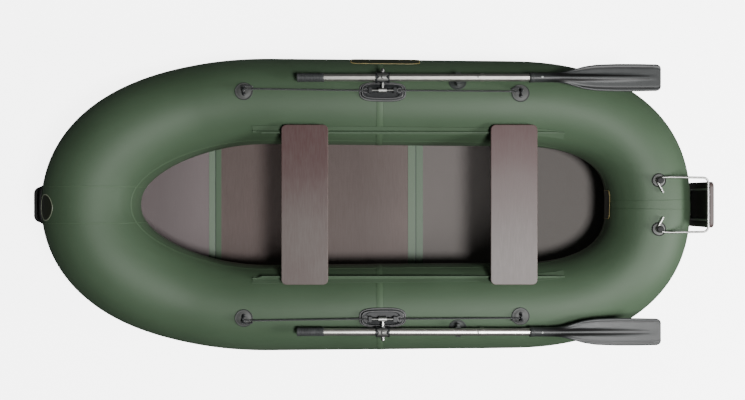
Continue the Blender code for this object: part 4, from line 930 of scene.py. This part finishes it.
# Snap buttons: place along the oar, height over its middle, profile
buttons = (
    (0.7765, 0.0200, [(0.0048, -0.002), (0.0048, 0.0006), (0.0036, 0.0014), (0, 0.0016)]),
    (0.495, 0.0160, [(0.0042, -0.001), (0.0042, 0.0010), (0.003, 0.0018), (0, 0.002)]),
)
# Dark lines painted as shade on the blade: the groove beside the rib and inside the edge, each with where it
# starts and ends
bladeShadeLines = dict(
    middle=1.035, slope=-0.028, foot=0.014, core=(0.0028, 0.0048), wall=(0.0016, 0.0), tipEnd=(1.258, 1.246),
    neckEnd=(0.735, 0.86), edgeY=0.0446, edgeW=(0.0038, 0.0020), drawn=0.005, drawEnd=(1.06, 0.95),
    edgeNeck=(0.948, 0.956), edgeTip=(1.276, 1.268),
)


def groovedPlastic(name, colour, black, line):
    paint = Paint(name, colour, Specular_IOR_Level=0.4)
    along = paint.axis("X")
    aside = abs(abs(paint.axis("Y")) - line)
    foot = (along - bladeShadeLines["middle"]) * bladeShadeLines["slope"] + bladeShadeLines["foot"]
    groove = paint.band(aside, *bladeShadeLines["core"]) * paint.band(aside - foot, *bladeShadeLines["wall"])
    groove = groove * paint.band(along, *bladeShadeLines["tipEnd"]) * paint.band(along, *bladeShadeLines["neckEnd"])
    drawn = paint.band(along, *bladeShadeLines["drawEnd"]) * bladeShadeLines["drawn"]
    edge = paint.band(abs(aside + drawn - bladeShadeLines["edgeY"]), *bladeShadeLines["edgeW"])
    edge = edge * paint.band(along, *bladeShadeLines["edgeNeck"]) * paint.band(along, *bladeShadeLines["edgeTip"])
    wear = paint.noise(26.0, 4.0)
    faces = paint.mix(paint.band(wear, 0.4, 0.7) * 0.4, colour, shaded(colour, 1.35))
    # painted shade: the groove and edge lines in near black over the blade's faces
    tone = paint.mix((groove + edge).clamp(), faces, black)
    return paint.finish(tone, paint.noise(500.0, 2.0), 0.00012, Roughness=wear * 0.12 + 0.38)


def swelling(distance, width, height, share, spread):
    return height * math.exp(-(((distance - width * share) / (width * spread)) ** 2))


# The upper half of the blade's section, as offset and height, at a share of its length
def bladeHalf(at):
    width = between(blade["runs"], blade["widths"], at) * blade["halfW"]
    flat = ease(between(blade["runs"], blade["flats"], at))
    rib = between(blade["runs"], blade["ribs"], at)
    if at >= blade["endStart"]:
        past = max(0.0, (at - blade["roundStart"]) / blade["roundRun"])
        tipRound = math.sqrt(max(0.0, 1 - past ** blade["roundPower"]))
        width = blade["halfW"] * (blade["endWidth"] - blade["endTaper"] * (1 - tipRound))
    skin = blade["thick"] / 2
    ribFoot = blade["ribW"] * (blade["foot"][0] + blade["foot"][1] * rib)
    half = []
    for a, b in halfTurned(blade["around"]):
        y = math.copysign(abs(a) ** blade["spread"], a) * width
        distance = abs(y)
        crown = (blade["ribH"] - skin) * rib * max(0.0, 1 - (distance / ribFoot) ** 2)
        rim = math.sqrt(max(0.0, 1 - (distance / width) ** blade["rimPower"])) + blade["rimRise"]
        z = skin * min(1.0, rim) + crown
        z = z + swelling(distance, width, *blade["groove"]) + swelling(distance, width, *blade["lip"])
        roundY, roundZ = blade["neckR"] * a, blade["neckR"] * b
        half.append((roundY + (y - roundY) * flat, max(roundZ + (z - roundZ) * flat, blade["least"])))
    return half


def makeBlades():
    centre = oarAt(0)
    # the second colour is the near black of the painted groove shade
    plastic = groovedPlastic("bladePlastic", (0.025, 0.027, 0.027), (0.004, 0.004, 0.004), centre.y)
    rings = []
    for at in [i / blade["steps"] for i in range(blade["plain"])] + blade["stops"]:
        half = bladeHalf(at)
        place = centre + aft * (blade["neck"] + (blade["tip"] - blade["neck"]) * at)
        ring = [place + starboard * y + up * z for y, z in half]
        rings.append(ring + [place + starboard * y - up * z for y, z in reversed(half)])
    shape = Shape().loft(rings)
    collar = centre + aft * blade["neck"] + aft * blade["collarAt"]
    shape.lathe(blade["collar"], collar, aft)
    shape.makePair("blade", plastic, "black_plastic", "oar_blade", "oar", 50)
    for side, sign in sides:
        pair = Shape()
        for x, height, profile in buttons:
            pair.lathe(profile, Vector((x, sign * centre.y, centre.z + height)), up, 20)
        pair.make(f"snapButtons_{side}", paleAccent, "aluminium", body=f"oar_{side}")


makeBlades()
print("blades made")


# Grips: turned rings and grooves, given by the share of a pitch and the radius
grip = dict(
    x=-0.304, length=0.120, core=0.0170, rib=0.0192, ribs=15, plain=0.010, around=40, butt=0.001, end=0.0182,
    nose=[(0, 0.0), (0.012, 0.0), (0.0165, 0.0012), (0.0188, 0.004)], noseL=0.008,
    turned=((0.05, "rib"), (0.5, "rib"), (0.62, "core"), (0.92, "core")),
)


def makeGrips():
    rib, length = grip["rib"], grip["length"]
    profile = grip["nose"] + [(rib, grip["noseL"])]
    pitch = (length - 2 * grip["plain"]) / grip["ribs"]
    for i in range(grip["ribs"]):
        base = grip["plain"] + pitch * i
        profile += [(grip[part], base + pitch * share) for share, part in grip["turned"]]
    profile += [(rib, length - grip["plain"]), (rib, length - grip["butt"])]
    profile += [(grip["end"], length), (0, length)]
    centre = oarAt(grip["x"])
    for side, sign in sides:
        piece = Shape().lathe(profile, Vector((centre.x, sign * centre.y, centre.z)), aft, grip["around"])
        piece.make(f"grip_{side}", gripPlastic, "black_plastic", f"oar_grip_{side}", f"oar_{side}", 30)


makeGrips()
print("grips made")


# Saddle: a pressed steel plate over the sleeve, with four lobes and a round crown
saddle = dict(
    radius=0.0242, thick=0.0016, halfL=0.027, waist=0.013, halfTurn=48, count=28, phase=0.35, least=0.04,
    cornerPower=6, bevel=0.97, crownR=0.0085, crownH=0.004, crownSide=0.002, crownTop=0.7,
)


def makeSaddles():
    centre = oarAt(rowlock["x"])
    rings = []
    for i in range(saddle["count"] + 1):
        share = -1 + 2 * i / saddle["count"]
        swell = math.sin(math.pi * abs(share) * 0.5 + saddle["phase"]) ** 2
        lobe = saddle["waist"] + (saddle["halfL"] - saddle["waist"]) * swell
        lobe *= math.sqrt(max(saddle["least"], 1 - abs(share) ** saddle["cornerPower"]))
        turn = math.radians(90 + share * saddle["halfTurn"])
        out = starboard * math.cos(turn) + up * math.sin(turn)
        low, high = centre + out * saddle["radius"], centre + out * (saddle["radius"] + saddle["thick"])
        side, inner = aft * lobe, aft * lobe * saddle["bevel"]
        rings.append([low - side, low + side, high + inner, high - inner])
    shape = Shape().loft(rings)
    radius, height = saddle["crownR"], saddle["crownH"]
    crown = [(radius, 0), (radius, saddle["crownSide"]), (radius * saddle["crownTop"], height), (0, height)]
    shape.lathe(crown, centre + up * saddle["radius"], up, 24)
    shape.makePair("saddle", dullSteel, "steel", body="oar", angle=40)


makeSaddles()
print("saddles made")


# Bow handle: a flattened bar on two round bases
handle = dict(
    run=0.048, reach=0.045, barHalf=0.055, bend=0.022, halfT=0.010, halfH=0.016, baseT=0.007, sunk=0.0008,
    gap=0.0003, baseStops=(0, 0.35, 0.7, 0.95), armStart=1.2, barStops=(0.33, 0.66, 1.0), around=32,
    power=2.5,
    baseWide=[0.0165, 0.0165, 0.0155, 0.0115], baseTall=[0.0195, 0.0195, 0.0185, 0.0155],
)


def makeHandle():
    outward, radius = station(handle["run"])[1:]
    base = solidPoint(handle["run"], 0, handle["gap"])
    base -= outward * (radius * (1 - hull["facetShare"]) - hull["skinLift"] + handle["sunk"])
    barX = solidPoint(0, 0).x - handle["reach"] + handle["halfT"]
    corner = Vector((barX, handle["barHalf"] + handle["bend"] / 2, base.z))
    half = [base + outward * handle["baseT"] * s for s in handle["baseStops"]]
    start = base + outward * handle["baseT"] * handle["armStart"]
    arm = bend([start, corner, Vector((barX, 0, base.z))], handle["bend"], 9)
    half += arm[:-1] + [arm[-2].lerp(arm[-1], s) for s in handle["barStops"]]
    path = half + flipped(half[-2::-1])
    wide = handle["baseWide"] + [handle["halfT"]] * (len(half) - len(handle["baseWide"]))
    tall = handle["baseTall"] + [handle["halfH"]] * (len(half) - len(handle["baseTall"]))
    wide, tall = wide + wide[-2::-1], tall + tall[-2::-1]
    shape = Shape().sweep(path, wide, tall, up, handle["around"], handle["power"])
    shape.make("bowHandle", matteBlack, "black_plastic", "bow_handle", angle=50)


makeHandle()
print("bow handle made")


# Transom posts: a pad with a stem and a round knob, in shares of the cap's size and heights over the neck
post = dict(
    y=0.109, padR=0.031, thick=0.005, stemR=0.006, capR=0.0145, rodR=0.005, sunk=0.001, slack=0.0006,
    edgeShare=0.93, edgeLift=0.0022, edgeR=0.0024, edgeCount=48,
    dome=[(0.55, 0.0042), (0.42, 0.005), (0, 0.005)],
    knob=((0.94, 0), (1, 0.001), (1, 0.003), (0.9, 0.0048), (0.6, 0.006), (0.3, 0.0058), (0, 0.0055)),
)
# Transom: the rod hooks round a post from one angle to another, and the stay hangs from it
transom = dict(
    x=1.5286, top=0.398, height=0.270, stayHalf=0.068, stayLift=0.035, stayBend=0.020, gap=0.0003,
    hookGap=0.0005, hookStart=208, hookTurn=114, hookSteps=14, tailAngle=298, tail=0.055, rodBend=0.022,
    swell=(0.046, 0.0145, 0), cornerY=0.0116, fixY=0.045, fixSunk=0.0002,
    fixing=((0.0075, -0.003), (0.0075, 0), (0, 0)),
)


def makePosts(run):
    place = (run, 90, post["padR"], post["padR"])
    stem, cap = post["stemR"] / post["padR"], post["capR"] / post["padR"]
    neck = post["thick"] + 2 * post["rodR"] + post["slack"] + post["stemR"] / 4
    foot = post["thick"] - post["sunk"]
    pad = padShape(*place, discLayers + post["dome"])
    pad.makePair("transomPost", greyRubber, "pad_rubber", "transom_post")
    layers = [(0, foot), (stem, foot), (stem, neck)]
    layers += [(cap * share, neck + height) for share, height in post["knob"]]
    padShape(*place, layers).makePair("transomKnob", matteBlack, "pad_rubber")
    reach = post["padR"] * post["edgeShare"]
    edge = rimLoop(run, 90, reach, reach, post["edgeLift"], post["edgeR"], count=post["edgeCount"])
    edge.makePair("transomPostEdge", matteBlack, "pad_rubber")


def flatTurn(angle):
    turn = math.radians(angle)
    return Vector((math.cos(turn), math.sin(turn), 0))


def makeTransom():
    run = sideLength - post["y"]
    makePosts(run)
    radius, gap = post["rodR"], transom["gap"]
    foot = solidPoint(run, 90)
    foot.z = solidPoint(run, 90, post["thick"] + gap + radius).z
    wrap = post["stemR"] + transom["hookGap"] + radius
    barX = transom["x"] - gap - radius
    start, steps = transom["hookStart"], transom["hookSteps"]
    hook = [foot + flatTurn(start - transom["hookTurn"] * i / steps) * wrap for i in range(steps + 1)]
    tail = hook[0] + flatTurn(transom["tailAngle"]) * transom["tail"]
    corner = Vector((barX, foot.y + transom["cornerY"], foot.z))
    bar = [foot + Vector(transom["swell"]), corner, Vector((barX, 0, foot.z))]
    half = [tail] + hook + bend(bar, transom["rodBend"])
    rod = Shape().sweep(half + flipped(half[-2::-1]), radius, radius, up, 24)
    rod.make("transomRod", brightRod, "steel", "transom_frame", angle=60)
    bottom = transom["top"] - transom["height"] + transom["stayLift"]
    high = foot.z - radius - gap
    y = transom["stayHalf"]
    corners = [Vector((barX, *place)) for place in ((y, high), (y, bottom), (-y, bottom), (-y, high))]
    stay = Shape().sweep(bend(corners, transom["stayBend"]), radius, radius, aft, 24)
    stay.make("transomStay", steel, "steel", "transom_stay", angle=60)
    fixings = Shape()
    for sign in (-1, 1):
        for height in (foot.z, bottom):
            spot = Vector((transom["x"] - transom["fixSunk"], sign * transom["fixY"], height))
            fixings.lathe(transom["fixing"], spot, aft, 20)
    fixings.make("transomFixings", steel, "steel")


makeTransom()
print("transom made")


# Valves: a flange and a round cap with ribs round its side
valve = dict(
    angle=210.0, bow=-0.300, stern=0.430, sunk=0.0012, ribs=18, ribAt=0.0162, ribLow=0.0045, ribHigh=0.0088,
    ribR=0.0009,
    profile=(
        (0, 0), (0.022, 0), (0.022, 0.0018), (0.0208, 0.0034), (0.0172, 0.0038), (0.0166, 0.0045),
        (0.016, 0.0085), (0.0145, 0.0104), (0.0125, 0.0108), (0.0118, 0.0098), (0, 0.0096),
    ),
)


def makeValves():
    for where in ("bow", "stern"):
        run = runAt(valve[where])
        out = radial(station(run)[1], valve["angle"])
        foot = skinPoint(run, valve["angle"], -valve["sunk"])
        shape = Shape().lathe(valve["profile"], foot, out, 40)
        side = out.cross(aft).normalized()
        for a, b in turned(valve["ribs"]):
            spoke = aft * a + side * b
            root = foot + spoke * valve["ribAt"]
            path = [root + out * valve["ribLow"], root + out * valve["ribHigh"]]
            shape.sweep(path, valve["ribR"], valve["ribR"], spoke, 8)
        shape.make(f"valve_{where}Cap", paleAccent, "pale_plastic", f"valve_{where}", angle=40)


makeValves()
print("valves made")


# Bare plates of the badge and the two labels, each placed by run, angle and half sizes
plate = dict(
    thick=0.0008, edge=0.0032, bevel=0.99, steps=10, around=72, badge=(-0.008, 44, 0.0415, 0.060),
    side=(runAt(0.087), 25.5, 0.158, 0.036), stern=(sideLength, 181, 0.094, 0.050),
)
# Name, material, slot, place, lift, power and whether it is only an edge
plates = (
    ("badgeDisc", badgeDark, "pad_rubber", "badge", 0.0004, 2.0, False),
    ("badgeRing", ringPale, "pad_rubber", "badge", 0.0013, 2.0, True),
    ("sideLabel", labelDark, "hull_fabric", "side", 0.0014, 8.0, False),
    ("sideLabelEdge", tan, "hull_fabric", "side", 0.0024, 8.0, True),
    ("sternLabel", labelDark, "hull_fabric", "stern", 0.0014, 8.0, False),
    ("sternLabelEdge", tan, "hull_fabric", "stern", 0.0024, 8.0, True),
)
# A black patch behind the bow handle, painted shade filling the gap under the handle: layers with the share
# of its size and of its thickness
shadePatch = dict(
    place=(0, 12, 0.055, 0.052), thick=0.0085, power=4.0,
    layers=((1, 0.3), (0.93, 0.9), (0.9, 1), (0.5, 1), (0, 1)),
)


def plateShape(run, angle, halfLong, halfWide, lift, power, hollow):
    top = lift + plate["thick"]
    layers = [(1, 0, lift), (plate["bevel"], 0, top)]
    if hollow:
        layers += [(1, plate["edge"], top), (1, plate["edge"], lift)]
    else:
        layers += [(0.1 * n, 0, top) for n in range(plate["steps"] - 1, -1, -1)]
    rings = []
    for share, inset, rise in layers:
        halves = (halfLong * share - inset, halfWide * share - inset)
        ring = padRing(run, angle, *halves, power, plate["around"] if share else 1)
        rings.append([skinPoint(*spot, rise) for spot in ring])
    return Shape().loft(rings, closedPath=hollow)


def makePlates():
    for name, material, slot, place, *sizes in plates:
        plateShape(*plate[place], *sizes).make(name, material, slot)
    layers = [(0, None), (1, None)] + [(share, shadePatch["thick"] * level) for share, level in shadePatch["layers"]]
    # painted shade: a matte black patch where the gap under the handle shows only shade
    padShape(*shadePatch["place"], layers, shadePatch["power"]).make("handlePatch", matteBlack, "pad_rubber")


makePlates()
print("plates made")


# Finishes of the solids that stay, where a name also stands for its starboard and port solids
finishes = {
    green: ("bottom_sheet_bow", "bottom_sheet_main"),
    stripGreen: ("floor_strip_front", "floor_strip_rear"),
    railGreen: ("seat_rail",),
    bowPly: ("floor_board_bow",),
    midPly: ("floor_board_mid",),
    sternPly: ("floor_board_stern",),
    seatPly: ("seat_front_board", "seat_rear_board"),
    transomPly: ("transom_board",),
    blackPlastic: ("rowlock_frame", "oar_sleeve", "seat_front_runner", "seat_rear_runner"),
    dullSteel: ("rowlock_axle",),
    steel: ("rowlock_stud", "rowlock_nut"),
    alloy: ("oar_shaft_upper", "oar_shaft_lower"),
}
for material, names in finishes.items():
    for node, solid in cad.items():
        if node.removesuffix("_port").removesuffix("_starboard") in names:
            for slot in solid.material_slots:
                slot.material = material
print("solids painted")
